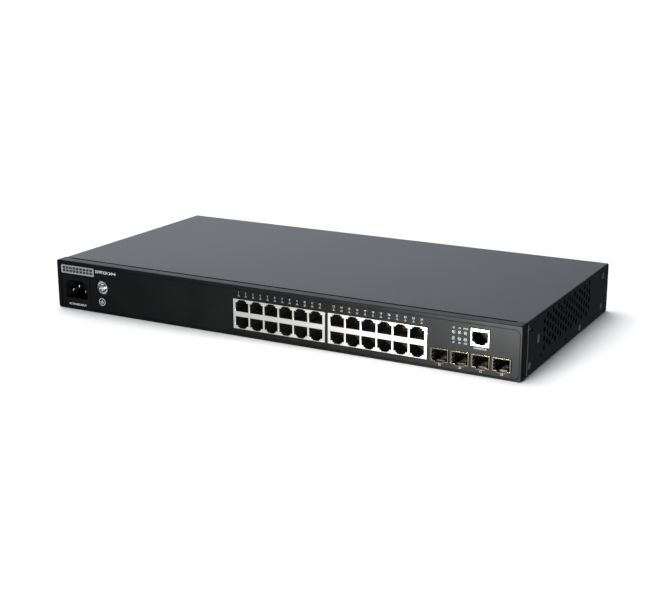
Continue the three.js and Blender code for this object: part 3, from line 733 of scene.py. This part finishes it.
def jack_contacts(x, face, z, side):
    """Eight sprung wires that slope back from the mouth, on the side away from the latch notch."""
    root = z + 0.25 if side > 0 else z + PORT_HEIGHT - 0.25
    wires = []
    for i in range(8):
        u = x + (i - 3.5) * 1.02
        wires.append(wire([
            (u, face + 3.2, root),
            (u, face + 4.4, root + side * 0.2),
            (u, face + 10.5, root + side * 2.9),
            (u, face + 11.2, root + side * 2.7),
        ], 0.19, 6))
    return wires


def make_port_frames():
    for side, _ in SIDES:
        node = f"port_block_{side}_shield"
        box = Box(node)
        make_jack(
            f"port_{side}", node, f"port_block_{side}_housing", port_columns(box),
            ((LOWER_PORT, -1), (UPPER_PORT, 1)),
        )
        make_ground_fingers(side, box)
    box = Box("console_port_shield")
    make_jack(
        "console", "console_port_shield", "console_port_housing", [box.x],
        ((CONSOLE_PORT, -1),), CONSOLE_EASE, CONSOLE_TRIM,
    )


def make_ground_fingers(side, box):
    """Small sprung fingers of the shield that press on the back of the chassis front wall."""
    fingers = []
    for x in port_columns(box):
        fingers.append(block(x - 2.2, x + 2.2, box.y0 + 6.5, box.y0 + 13, box.z1 + 0.05, box.z1 + 0.3))
    part(f"port_{side}_fingers", fingers, NICKEL, (0.08, 1))


# ---------------------------------------------------------------- lamps


def make_lamps():
    for side, _ in SIDES:
        node = f"port_light_guide_{side}"
        repaint(node, GUIDE)
        box = Box(node)
        tips = [prism(lamp_outline(x, LAMP_SIDE * 0.6), box.y0 - 0.12, box.y0 - 0.01)
                for x in lamp_columns(box)]
        part(f"port_lamps_{side}", tips, DIM_LENS, (0.05, 1))
    repaint("status_light_guide", GUIDE)
    box = Box("status_light_guide")
    profile = [(0, -0.75), (0.5, -0.66), (0.9, -0.4), (1.1, -0.02), (0, -0.02)]
    domes = [lathe(profile, 20, "Y", (x, box.y0, z)) for x, z in status_spots()]
    part("status_lamps", domes, LENS, smooth=60)


# ---------------------------------------------------------------- optics bays


def make_bay(index):
    """One cage with its sprung collar, latch tongue, inner springs and connector contacts."""
    node = f"optics_cage_{index}"
    box = Box(node)
    x, floor, wall = box.x, box.z0 + CAGE_STEP, 0.4
    cage = make(f"bay_{index}_cage", [block(box.x0, box.x1, box.y0, box.y1, floor, box.z1)])
    tab = block(x - CAGE_TAB, x + CAGE_TAB, box.y0, box.y0 + 4.5, box.z0, floor + wall)
    boolean(cage, [tab], "UNION")
    inside, back = floor + wall, box.y1 - wall
    boolean(cage, [block(box.x0 + wall, box.x1 - wall, box.y0 - 1, back, inside, box.z1 - wall)])
    boolean(cage, [block(x - 3.6, x + 3.6, box.y0 - 1, box.y0 + 4.1, box.z0 + wall, inside + 0.1)])
    boolean(cage, [block(x - 5.9, x + 5.9, box.y0 + 36.7, back, floor - 1, inside + 0.1)])
    boolean(cage, [block(x - 3.1, x + 3.1, box.y0 + 6.5, box.y0 + 17, floor - 1, inside + 0.1)])
    boolean(cage, [prism(circle(x + dx, box.y0 + dy, 0.9, 14), box.z1 - 1, box.z1 + 1, "Z")
                   for dx in (-4.2, 0, 4.2) for dy in (14, 19, 24, 29, 34)])
    soften(cage, 0.08, 1, 50)
    dress(cage, TIN, [node])
    # A black pad on the latch tab is painted shade: it darkens the tab's notch at the cage's mouth.
    part(f"bay_{index}_painted_shade_pad", [block(
        x - 3.5, x + 3.5, box.y0 + 0.15, box.y0 + 4, box.z0 + wall + 0.02, box.z0 + wall + 0.3,
    )], INLAY_AND_PAINTED_SHADE, (0.06, 1))
    make_collar(index, box, floor)
    make_tongue(index, box, floor)
    make_bay_insides(index, box)


def make_collar(index, box, floor):
    """The folded front edge, and the sprung fingers that close the gap to the front panel."""
    ring = make(f"bay_{index}_collar", [prism(rounded(
        box.x0 - 0.25, box.x1 + 0.25, floor - 0.2, box.z1 + 0.25, 0.4, 3,
    ), box.y0 - 0.3, box.y0 - 0.02)])
    boolean(ring, [prism(rounded(
        box.x0 + 0.5, box.x1 - 0.5, floor + 0.5, box.z1 - 0.5, 0.3, 3,
    ), box.y0 - 1, box.y0 + 1)])
    boolean(ring, [block(box.x - 3.6, box.x + 3.6, box.y0 - 1, box.y0 + 1, floor - 2, floor + 1)])
    soften(ring, 0.09, 2)
    dress(ring, TIN)
    fingers = []
    y0, y1 = box.y0 + 0.4, box.y0 + 6.5
    for i in range(4):
        u = box.x0 + 2.1 + i * 3.4
        fingers.append(leaf("X", (u - 1.1, u + 1.1), y0, y1, box.z1 - 0.45, -0.55, -LEAF))
    for i in range(3):
        v = floor + 1.9 + i * 3.1
        for s, wall_x in ((1, box.x0 + 0.45), (-1, box.x1 - 0.45)):
            fingers.append(leaf("Z", (v - 0.95, v + 0.95), y0, y1, wall_x, s * 0.5, s * LEAF))
    part(f"bay_{index}_springs", fingers, SPRING, smooth=60)


def make_tongue(index, box, floor):
    """The sprung tongue in the cage's floor, with the triangular hole for a module's latch."""
    x, y0, y1 = box.x, box.y0 + 6.9, box.y0 + 16.7
    edge = [(2.6, y1), (2.6, y0 + 1), (1.8, y0)]
    outline = [(x - u, v) for u, v in edge] + [(x + u, v) for u, v in reversed(edge)]
    tongue = make(f"bay_{index}_tongue", [prism(outline, floor + 0.1, floor + 0.4, "Z")])
    hole = [(x - 1.5, y0 + 4.4), (x + 1.5, y0 + 4.4), (x, y0 + 2)]
    boolean(tongue, [prism(hole, floor - 1, floor + 2, "Z")])
    soften(tongue, 0.06, 1)
    dress(tongue, SPRING)


def make_bay_insides(index, box):
    node = f"optics_connector_{index}"
    c = Box(node)
    body = make(f"bay_{index}_connector", [c.solid()])
    boolean(body, [block(c.x0 + 1, c.x1 - 1, c.y0 - 1, c.y0 + 6, c.z0 + 2.2, c.z0 + 3.8)])
    soften(body, 0.15, 2)
    dress(body, RESIN, [node])
    rows = []
    for i in range(10):
        u = box.x + (i - 4.5) * 0.8
        for z in (c.z0 + 2.3, c.z0 + 3.55):
            rows.append(block(u - 0.17, u + 0.17, c.y0 + 0.5, c.y0 + 5.6, z, z + 0.16))
    part(f"bay_{index}_contacts", rows, GOLD)
    kick = [leaf("X", (u - 0.8, u + 0.8), box.y0 + 26, box.y0 + 36, box.z1 - 0.55, -1.5, -LEAF)
            for u in (box.x - 3.6, box.x + 3.6)]
    part(f"bay_{index}_kick_springs", kick, SPRING, smooth=60)


# ---------------------------------------------------------------- inlet and ground terminal


def make_inlet():
    box = Box("inlet_housing")
    x, z = box.x, box.z
    flange = prism(rounded(box.x0, box.x1, box.z0, box.z1, 1.5, 4), box.y0, box.y0 + 0.9)
    housing = make("inlet_moulding", [flange])
    soften(housing, 0.3, 3, 60)
    half_w, half_h = INLET_WIDTH / 2, INLET_HEIGHT / 2
    throat = rounded(x - half_w, x + half_w, z - half_h, z + half_h, 0.8, 3)
    boolean(housing, [prism(throat, box.y0 + 0.45, box.y1)], "UNION")
    half_w, half_h, chamfer = 12.0, 8.2, 4.6
    mouth = [
        (x - half_w, z - half_h), (x + half_w, z - half_h), (x + half_w, z + half_h - chamfer),
        (x + half_w - chamfer, z + half_h), (x - half_w + chamfer, z + half_h),
        (x - half_w, z + half_h - chamfer),
    ]
    boolean(housing, [prism(mouth, box.y0 - 1, box.y0 + 16)])
    pins = ("inlet_pin_line", "inlet_pin_neutral", "inlet_pin_earth")
    slots = []
    for node in pins:
        p = Box(node)
        slots.append(block(p.x0 - 0.1, p.x1 + 0.1, box.y0 + 15, box.y1 + 1, p.z0 - 0.1, p.z1 + 0.1))
    boolean(housing, slots)
    soften(housing, 0.18, 2, 50)
    dress(housing, HOUSING, ["inlet_housing"])
    for node in pins:
        p = Box(node)
        blade = make(f"{node}_blade", [p.solid()])
        for vertex in blade.data.vertices:
            co = vertex.co
            if co.y < (p.y0 + 0.1) * MM:
                co.x = p.x * MM + (co.x - p.x * MM) * 0.55
                co.z = p.z * MM + (co.z - p.z * MM) * 0.62
        soften(blade, 0.35, 3, 30)
        dress(blade, PIN, [node])


def make_ground_terminal():
    """The pan-head ground screw with its thread, and the toothed washer under it."""
    box = Box("ground_screw")
    x, z = box.x, box.z
    crown, seat = box.y0, box.y0 + 2.6
    dome = [
        (0, crown), (1.6, crown + 0.06), (2.9, crown + 0.42), (3.7, crown + 0.98), (4.1, crown + 1.7),
        (4.2, seat - 0.35), (4.05, seat), (1.7, seat), (1.7, box.y1 - 0.8), (1.2, box.y1), (0, box.y1),
    ]
    screw = make("ground_screw_body", [lathe(dome, 40, "Y", (x, 0, z))])
    cut_cross(screw, x, z, 4.8, 0.95, 28, box.y0 - 1, box.y0 + 1.5)
    dress(screw, STEEL, ["ground_screw"], "ground_screw", 38)
    pitch, turns, steps = 0.7, 10, 14
    start = seat + 1.4
    helix = []
    for i in range(turns * steps + 1):
        a = 2 * math.pi * i / steps
        helix.append((x + 1.72 * math.cos(a), start + pitch * i / steps, z + 1.72 * math.sin(a)))
    part("ground_screw_thread", [wire(helix, 0.2, 5)], STEEL, body="ground_screw")
    w = Box("ground_washer")
    teeth = []
    for i in range(48):
        r = 5.7 if i % 4 in (0, 1) else 5.25
        teeth.append(circle(x, z, r, 48)[i])
    washer = make("ground_washer_toothed", [prism(teeth, w.y0, w.y1)])
    boolean(washer, [prism(circle(x, z, 2.2, 32), w.y0 - 1, w.y1 + 1)])
    soften(washer, 0.08, 1)
    dress(washer, STEEL, ["ground_washer"], "ground_washer")
    repaint("ground_nut", STEEL)


# ---------------------------------------------------------------- printing


def printed(name, labels, material, bold=0.0):
    """Printing on the recessed face. labels are (text, x, z, letter height, alignment)."""
    letters = []
    for text, x, z, size, align in labels:
        curve = bpy.data.curves.new("label", "FONT")
        curve.body = text
        curve.size = size * 1.35 * MM
        curve.align_x = align
        curve.align_y = "CENTER"
        curve.extrude = 0.02 * MM
        curve.offset = bold * MM
        curve.resolution_u = 2
        label = add_object("label", curve)
        place = Matrix.Translation(Vector((x, FACE - 0.03, z)) * MM)
        label.matrix_world = place @ Matrix.Rotation(math.pi / 2, 4, "X")
        letters.append(label)
    bpy.context.view_layer.update()
    graph = bpy.context.evaluated_depsgraph_get()
    work = bmesh.new()
    for label in letters:
        mesh = bpy.data.meshes.new_from_object(label.evaluated_get(graph))
        mesh.transform(label.matrix_world)
        work.from_mesh(mesh)
        bpy.data.meshes.remove(mesh)
        bpy.data.objects.remove(label)
    bmesh.ops.remove_doubles(work, verts=work.verts, dist=1e-7)
    mesh = bpy.data.meshes.new(name)
    work.to_mesh(mesh)
    work.free()
    dress(add_object(name, mesh), material)


def make_printing():
    numbers = []
    for k, (side, _) in enumerate(SIDES):
        box = Box(f"port_block_{side}_shield")
        for i, x in enumerate(lamp_columns(box)):
            number = str(2 * PORT_COLUMNS * k + i + 1)
            numbers.append((number, x, LAMP_HEIGHT + 2.75, NUMBER_SIZE, "CENTER"))
    for i in range(BAYS):
        box = Box(f"optics_cage_{i + 1}")
        numbers.append((str(25 + i), box.x, box.z0 - 1.2, NUMBER_SIZE, "CENTER"))
    spots = status_spots()
    xs = sorted({x for x, _ in spots})
    low, high = sorted({z for _, z in spots})
    for names, z in ((("25", "26", "PWR"), high + 3.3), (("27", "28", "SYS"), low - 3.3)):
        numbers += [(text, x + 0.1, z, NAME_SIZE, "CENTER") for text, x in zip(names, xs)]
    box = Box("console_port_shield")
    numbers.append(("CONSOLE", box.x, box.z0 - 1.9, NUMBER_SIZE, "CENTER"))
    printed("port_numbers", numbers, GREY_PRINT, 0.03)
    box = Box("inlet_housing")
    labels = [("AC POWER INPUT", box.x, box.z0 - 1.6, 1.75, "CENTER")]
    box = Box("name_plate")
    labels.append(("SWITCH 24+4", box.x1 + 1.6, box.z + 1.2, 2.7, "LEFT"))
    printed("front_labels", labels, PRINT, 0.08)
    make_earth_symbol()


def make_earth_symbol():
    """A ring with the protective-earth sign in it, under the ground screw."""
    box = Box("ground_screw")
    x, z, r = box.x, 10.2, 3.45
    ring = make("earth_symbol", [prism(circle(x, z, r, 40), FACE - 0.05, FACE - 0.01)])
    boolean(ring, [prism(circle(x, z, r - 0.45, 40), FACE - 1, FACE + 1)])
    for rise, wide, tall in ((1.2, 0.5, 2.2), (0, 4.2, 0.5), (-0.9, 2.8, 0.5), (-1.8, 1.4, 0.5)):
        boolean(ring, [prism(centred(x, z + rise, wide, tall), FACE - 0.05, FACE - 0.01)], "UNION")
    dress(ring, PRINT)


def make_name_plate():
    """A plain plate with a rolled edge and two rows of blank dark cells."""
    box = Box("name_plate")
    outline = rounded(box.x0, box.x1, box.z0, box.z1, 0.8, 4)
    plate = make("blank_name_plate", [prism(outline, box.y0, box.y1)])
    soften(plate, 0.12, 2, 60)
    boolean(plate, [prism(rounded(
        box.x0 + 0.7, box.x1 - 0.7, box.z0 + 0.7, box.z1 - 0.7, 0.5, 3,
    ), box.y0 - 1, box.y0 + 0.12)])
    dress(plate, PLATE, ["name_plate"])
    columns, rows, rib = 9, 2, 0.75
    wide, tall = (box.x1 - box.x0 - 2.4) / columns, (box.z1 - box.z0 - 2.2) / rows
    cells = []
    for i in range(columns):
        for j in range(rows):
            x, z = box.x0 + 1.2 + i * wide, box.z0 + 1.1 + j * tall
            cells.append(block(
                x + rib / 2, x + wide - rib / 2, box.y0 + 0.08, box.y0 + 0.11,
                z + rib / 3, z + tall - rib / 3,
            ))
    part("name_plate_cells", cells, INLAY_AND_PAINTED_SHADE, slot="plate_finish")


# ---------------------------------------------------------------- inside the case


def boards():
    for node in ("main_board", "console_board", "power_board"):
        repaint(node, BOARD)


def make_gull_chip(node, sides_with_legs, pitch=1.0):
    """A chip with a pin-one dimple and gull-wing legs."""
    box = Box(node)
    x0, x1, y0, y1 = box.x0 + 0.8, box.x1 - 0.8, box.y0 + 0.8, box.y1 - 0.8
    body = make(f"{node}_body", [block(x0, x1, y0, y1, box.z0 + 0.15, box.z1)])
    dimple = [(0, box.z1 - 0.15), (0.6, box.z1 - 0.15), (0.6, box.z1 + 1), (0, box.z1 + 1)]
    boolean(body, [lathe(dimple, 16, "Z", (box.x0 + 2.4, box.y1 - 2.4, 0))])
    soften(body, 0.18, 2)
    dress(body, RESIN, [node])
    legs = []
    for axis in sides_with_legs:
        length, middle, edges = (
            (box.x1 - box.x0, box.x, (y0, y1)) if axis == "X" else (box.y1 - box.y0, box.y, (x0, x1)))
        count = int((length - 3) / pitch)
        for i in range(count + 1):
            t = middle + (i - count / 2) * pitch
            for s, edge in zip((-1, 1), edges):
                reach = sorted((edge - s * 0.2, edge + s * 0.8))
                legs.append(bar(axis, (t - 0.18, t + 0.18), reach, box.z0 - 0.05, box.z0 + 0.5))
    part(f"{node}_legs", legs, SOLDER)


def make_chips():
    make_gull_chip("switch_chip", "XY", 0.8)
    for i in range(2):
        make_gull_chip(f"port_driver_chip_{i + 1}", "XY", 0.8)
    for i in range(PORT_COLUMNS):
        make_gull_chip(f"port_transformer_{i + 1}", "X", 1.27)


def make_heatsink(node, fins):
    """An extruded heatsink with rounded fins."""
    box = Box(node)
    step = (box.x1 - box.x0) / fins
    sink = make(f"{node}_extrusion", [block(box.x0, box.x1, box.y0, box.y1, box.z0, box.z0 + 2)])
    blades = []
    for i in range(fins):
        x = box.x0 + step * (i + 0.5)
        blades.append(block(x - step * 0.16, x + step * 0.16, box.y0, box.y1, box.z0 + 1, box.z1))
    boolean(sink, blades, "UNION")
    soften(sink, 0.3, 2)
    dress(sink, ALUMINIUM, [node])


def make_capacitor(name, x, y, z, radius, height, replaces=()):
    """A can with its sleeve, a crimped neck and a scored aluminium top."""
    rim = z + height
    sleeve = [
        (0, z), (radius * 0.94, z), (radius, z + 0.4), (radius, z + 1.6), (radius * 0.93, z + 2.0),
        (radius, z + 2.5), (radius, rim - 0.7), (radius * 0.9, rim - 0.15), (radius * 0.8, rim - 0.2),
        (0, rim - 0.2),
    ]
    part(f"{name}_sleeve", [lathe(sleeve, 40, "Z", (x, y, 0))], SLEEVE, replaces=replaces, smooth=50)
    disc = [(0, rim - 0.19), (radius * 0.79, rim - 0.19), (radius * 0.79, rim - 0.02), (0, rim - 0.02)]
    top = make(f"{name}_top", [lathe(disc, 40, "Z", (x, y, 0))])
    cut_cross(top, x, y, radius * 1.3, 0.25, 30, rim - 0.08, rim + 1, "Z")
    dress(top, ALUMINIUM, smooth=50)


def make_choke():
    """A ring core with its turns of enamelled wire."""
    c = Box("power_choke")
    major, minor = 7.0, 2.5
    core = circle(major, c.z, minor, 16)
    ring = lathe([*core, core[0]], 40, "Z", (c.x, c.y, 0))
    part("power_choke_core", [ring], FERRITE, replaces=["power_choke"], smooth=60)
    turns, per_turn, coil = 22, 12, minor + 0.65
    for half, start in (("a", 20), ("b", 200)):
        path = []
        for i in range(turns * per_turn + 1):
            around = math.radians(start + 140 * i / (turns * per_turn))
            roll = 2 * math.pi * i / per_turn
            r = major + coil * math.cos(roll)
            z = c.z + coil * math.sin(roll)
            path.append((c.x + r * math.cos(around), c.y + r * math.sin(around), z))
        part(f"power_choke_winding_{half}", [wire(path, 0.42, 6)], COPPER, smooth=70)


def make_transformer():
    c = Box("power_transformer")
    core = make("power_transformer_core", [block(c.x0, c.x1, c.y - 6, c.y + 6, c.z0 + 3, c.z1)])
    boolean(core, [block(c.x0 + 6, c.x1 - 6, c.y - 7, c.y + 7, c.z0 + 8, c.z1 - 5)])
    soften(core, 0.4, 2)
    dress(core, FERRITE, ["power_transformer"])
    part("power_transformer_winding", [prism(rounded(
        c.x - 7.9, c.x + 7.9, c.y0 + 1.4, c.y1 - 1.4, 3.5, 6,
    ), c.z0 + 8.1, c.z1 - 5.1, "Z")], TAPE)
    part("power_transformer_bobbin", [
        block(c.x - 9, c.x + 9, c.y0, c.y0 + 5.4, c.z0, c.z0 + 8),
        block(c.x - 9, c.x + 9, c.y1 - 5.4, c.y1, c.z0, c.z0 + 8),
    ], RESIN, (0.4, 2))


def make_socket(node, poles, axis):
    """A nylon wire-to-board connector with a window for each pole along the axis."""
    c = Box(node)
    length, middle, face = (
        (c.x1 - c.x0, c.x, (c.y0 - 1, c.y0 + 1.2)) if axis == "X" else
        (c.y1 - c.y0, c.y, (c.x1 - 1.2, c.x1 + 1)))
    step = (length - 2) / poles
    windows = []
    for i in range(poles):
        t = middle + (i - (poles - 1) / 2) * step
        windows.append(bar(axis, (t - step * 0.3, t + step * 0.3), face, c.z - 2, c.z + 2.5))
    body = make(f"{node}_body", [c.solid()])
    boolean(body, windows)
    soften(body, 0.3, 2)
    dress(body, NYLON, [node])


def make_harness(name, node, colours, path, spread):
    """Separate wires side by side in the space of the CAD sleeve, which the first one replaces."""
    for i, material in enumerate(colours):
        angle = 2 * math.pi * i / len(colours)
        du, dv = spread * math.cos(angle), spread * math.sin(angle)
        curve = smooth_path([(x + du, y + dv * 0.3, z + dv) for x, y, z in path], 8)
        part(
            f"{name}_wire_{i + 1}", [wire(curve, 0.95, 10)],
            material, replaces=[node] if i == 0 else (), smooth=70)


def smooth_path(points, steps):
    """A Catmull-Rom curve through the points."""
    p = [Vector(point) for point in points]
    p = [p[0] * 2 - p[1], *p, p[-1] * 2 - p[-2]]
    curve = []
    for a, b, c, d in zip(p, p[1:], p[2:], p[3:]):
        for i in range(steps):
            t = i / steps
            curve.append(0.5 * (2 * b + (c - a) * t + (2 * a - 5 * b + 4 * c - d) * t ** 2
                                + (3 * b - a - 3 * c + d) * t ** 3))
    curve.append(p[-2])
    return curve


def make_harnesses():
    box = Box("mains_harness")
    inlet, end = Box("inlet_housing"), Box("power_inlet_socket")
    x, z = inlet.x, inlet.z
    make_harness("mains_lead", "mains_harness", (PVC, BLUE_PVC, GREEN_PVC), [
        (x, box.y0 + 0.8, z), (x + 0.5, box.y0 + 4, z), (x + 2, box.y0 + 9, z + 1.5),
        (end.x, end.y - 1, 21), (end.x, end.y, 18.5), (end.x, end.y, end.z1 + 0.6),
    ], 1.3)
    start, stop = Box("power_output_socket"), Box("board_power_socket")
    make_harness("supply_lead", "board_supply_harness", (RED_PVC, PVC, RED_PVC, PVC), [
        (start.x, start.y, start.z1 + 0.7), (start.x, start.y, 19), (start.x + 8, start.y - 14, 25),
        (start.x + 26, start.y - 38, 25), (stop.x, stop.y, 19), (stop.x, stop.y, stop.z1 + 0.7),
    ], 1.4)


def scatter_parts():
    """Small parts that fill the boards: ceramic capacitors, resistors, inductors and round cans."""
    rng = random.Random(7)
    box = Box("main_board")
    top = box.z1
    taken = [Box(n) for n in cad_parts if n.startswith((
        "switch_chip", "port_driver", "port_transformer", "board_power", "port_block", "console_board",
        "optics_cage", "port_light",
    ))]
    bodies, ends, inductors = [], [], []
    count = 0
    while count < 420:
        x, y = rng.uniform(box.x0 + 4, box.x1 - 4), rng.uniform(box.y0 + 40, box.y1 - 4)
        if any(b.holds(x, y) for b in taken):
            continue
        count += 1
        w, l, h = rng.choice(((1.6, 0.8, 0.7), (2.0, 1.25, 0.9), (3.2, 1.6, 1.2)))
        axis, u, v = ("X", x, y) if rng.random() < 0.5 else ("Y", y, x)
        bodies.append(bar(axis, (u - w / 2, u + w / 2), (v - l / 2, v + l / 2), top + 0.05, top + h))
        wrap = (v - l / 2 - 0.03, v + l / 2 + 0.03)
        for end in (u - w / 2, u + w / 2):
            ends.append(bar(axis, (end - 0.2, end + 0.2), wrap, top + 0.02, top + h + 0.03))
    part("board_ceramics", bodies, CERAMIC)
    part("board_ceramic_ends", ends, SOLDER)
    for x, y in ((-84, -10), (-84, -26), (-70, 42), (20, 40), (160, 30)):
        inductors.append(prism(rounded(x - 5, x + 5, y - 5, y + 5, 1.5, 3), top + 0.1, top + 5, "Z"))
    part("board_inductors", inductors, FERRITE, (0.3, 2))
    cans = ((-88, 44), (-74, 8), (-60, -20), (6, 30), (148, -10), (148, 30), (190, 10))
    for i, (x, y) in enumerate(cans):
        make_capacitor(f"board_can_{i + 1}", x, y, top + 0.1, 4, 11)


def make_supply_parts():
    box = Box("power_board")
    top = box.z1 + 0.1
    c = Box("power_capacitor")
    make_capacitor("power_can", c.x, c.y, c.z0, (c.x1 - c.x0) / 2, c.z1 - c.z0, ["power_capacitor"])
    for i, (dx, dy) in enumerate(((22, 128), (34, 128), (50, 138))):
        make_capacitor(f"output_can_{i + 1}", box.x0 + dx, box.y0 + dy, top, 5, 20)
    film = block(box.x0 + 60, box.x0 + 78, box.y0 + 12, box.y0 + 20, top, top + 14)
    part("mains_film_capacitor", [film], TAPE, (0.6, 3), slot="natural_nylon")
    part("mains_fuse", [lathe([
        (0, -6), (2.6, -6), (2.6, -3.6), (2.2, -3.5), (2.2, 3.5), (2.6, 3.6), (2.6, 6), (0, 6),
    ], 24, "X", (box.x0 + 38, box.y0 + 10, top + 3.2))], PIN)
    make_choke()
    make_transformer()
    make_heatsink("power_heatsink_primary", 7)
    make_heatsink("power_heatsink_secondary", 6)
    make_socket("power_inlet_socket", 3, "X")
    make_socket("power_output_socket", 4, "Y")


def make_board_screws():
    """Pan-head screws that hold the two boards to the bosses."""
    pan = [(0, 0), (2.8, 0), (2.8, 0.9), (2.2, 1.7), (1.0, 2.0), (1.0, 1.2), (0, 1.2)]
    heads = []
    m, p = Box("main_board"), Box("power_board")
    inset = 8
    spots = [(x, y) for x in (m.x0 + inset, m.x, m.x1 - inset) for y in (-66, m.y1 - inset)]
    spots += [(x, y) for x in (p.x0 + inset, p.x1 - inset) for y in (p.y0 + inset, p.y1 - inset)]
    z = m.z1 + 0.03
    blocked = [Box(n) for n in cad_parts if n.startswith(("optics_cage", "port_transformer"))]
    for x, y in spots:
        if any(b.holds(x, y) for b in blocked):
            continue
        heads.append(lathe(pan, 24, "Z", (x, y, z)))
    part("board_screws", heads, STEEL)


def make_insides():
    boards()
    make_chips()
    make_heatsink("switch_chip_heatsink", 9)
    make_socket("board_power_socket", 4, "Y")
    repaint("console_board_header", RESIN)
    make_supply_parts()
    make_harnesses()
    scatter_parts()
    make_board_screws()


# ---------------------------------------------------------------- stage, light and camera

KEY_FROM, KEY_POWER = (-0.3, 0.1, 0.95), 2.9
ROOM_GLOW, SKY_COLOUR = 0.125, (0.87, 0.92, 1.0, 1)
WALLS = (
    ((-0.72, 0.65, 0.25), 0.58, 1.00, 1.55),
    ((-0.30, -0.90, -0.28), 0.78, 1.00, 0.86),
)
KICKER_FROM, KICKER_TO = (0.15, -0.36, 0.022), (0.17, -0.11, 0.022)
KICKER_SIZE, KICKER_POWER = (0.12, 0.034), 2.9
FLOOR_REACH = 30 / MM

CAMERA_AZIMUTH, CAMERA_ELEVATION = 28.28, 15.66
CAMERA_DISTANCE = 1.037
CAMERA_LENS = 67.8
AIM_RIGHT, AIM_UP = 0.0546, 0.0339


def direction(azimuth, elevation):
    a, e = math.radians(azimuth), math.radians(elevation)
    return Vector((math.sin(a) * math.cos(e), -math.cos(a) * math.cos(e), math.sin(e)))


def make_camera():
    back = direction(CAMERA_AZIMUTH, CAMERA_ELEVATION)
    right = Vector((-back.y, back.x, 0)).normalized()
    up = back.cross(right)
    data = bpy.data.cameras.new("camera")
    data.lens = CAMERA_LENS
    data.sensor_width = 36
    camera = add_object("camera", data)
    foot = Vector((0, CAD_LOW.y, CAD_LOW.z))
    camera.location = foot + right * AIM_RIGHT + up * AIM_UP + back * CAMERA_DISTANCE
    camera.rotation_euler = back.to_track_quat("Z", "Y").to_euler()
    bpy.context.scene.camera = camera


def make_kicker():
    """A small low lamp near the right end of the front."""
    data = bpy.data.lights.new("front_kicker", "AREA")
    data.shape = "RECTANGLE"
    data.size, data.size_y = KICKER_SIZE
    data.energy = KICKER_POWER
    lamp = add_object("front_kicker", data)
    lamp.location = KICKER_FROM
    lamp.rotation_euler = (Vector(KICKER_FROM) - Vector(KICKER_TO)).to_track_quat("Z", "Y").to_euler()
    lamp.visible_camera = False


def make_floor():
    square = [(x, y, 0) for x, y in rect(-FLOOR_REACH, FLOOR_REACH, -FLOOR_REACH, FLOOR_REACH)]
    floor = make("floor", [(square, [[0, 1, 2, 3]])])
    floor.data.materials.append(FLOOR)
    floor.visible_glossy = False


def make_sky():
    """A dim room whose brighter walls are broad lobes: (direction, start, end, strength)."""
    world = bpy.data.worlds.new("studio")
    world.use_nodes = True
    tree = world.node_tree
    where = add_node(tree, "TexCoord", "Generated", {})
    total = ROOM_GLOW
    for towards, start, end, strength in WALLS:
        inputs = {0: where, 1: Vector(towards).normalized()}
        facing = add_node(tree, "VectorMath", "Value", inputs, operation="DOT_PRODUCT")
        lobe = add_node(tree, "MapRange", "Result", {
            "Value": facing, "From Min": start, "From Max": end, "To Max": strength,
        }, interpolation_type="SMOOTHSTEP")
        total = add_node(tree, "Math", "Value", {0: lobe, 1: total}, operation="ADD")
    sky = tree.nodes["Background"]
    sky.inputs["Color"].default_value = SKY_COLOUR
    tree.links.new(total, sky.inputs["Strength"])
    bpy.context.scene.world = world


def make_key():
    data = bpy.data.lights.new("key", "SUN")
    data.energy = KEY_POWER
    data.angle = math.radians(50)
    add_object("key", data).rotation_euler = Vector(KEY_FROM).to_track_quat("Z", "Y").to_euler()


def make_light():
    make_sky()
    make_key()
    make_kicker()
    bpy.context.scene.view_settings.view_transform = "Standard"


# ---------------------------------------------------------------- the whole

make_camera()
make_floor()
make_light()
make_cover()
make_cover_screws()
make_bezel()
make_base()
make_port_frames()
make_lamps()
for bay in range(BAYS):
    make_bay(bay + 1)
make_inlet()
make_ground_terminal()
make_printing()
make_name_plate()
make_insides()
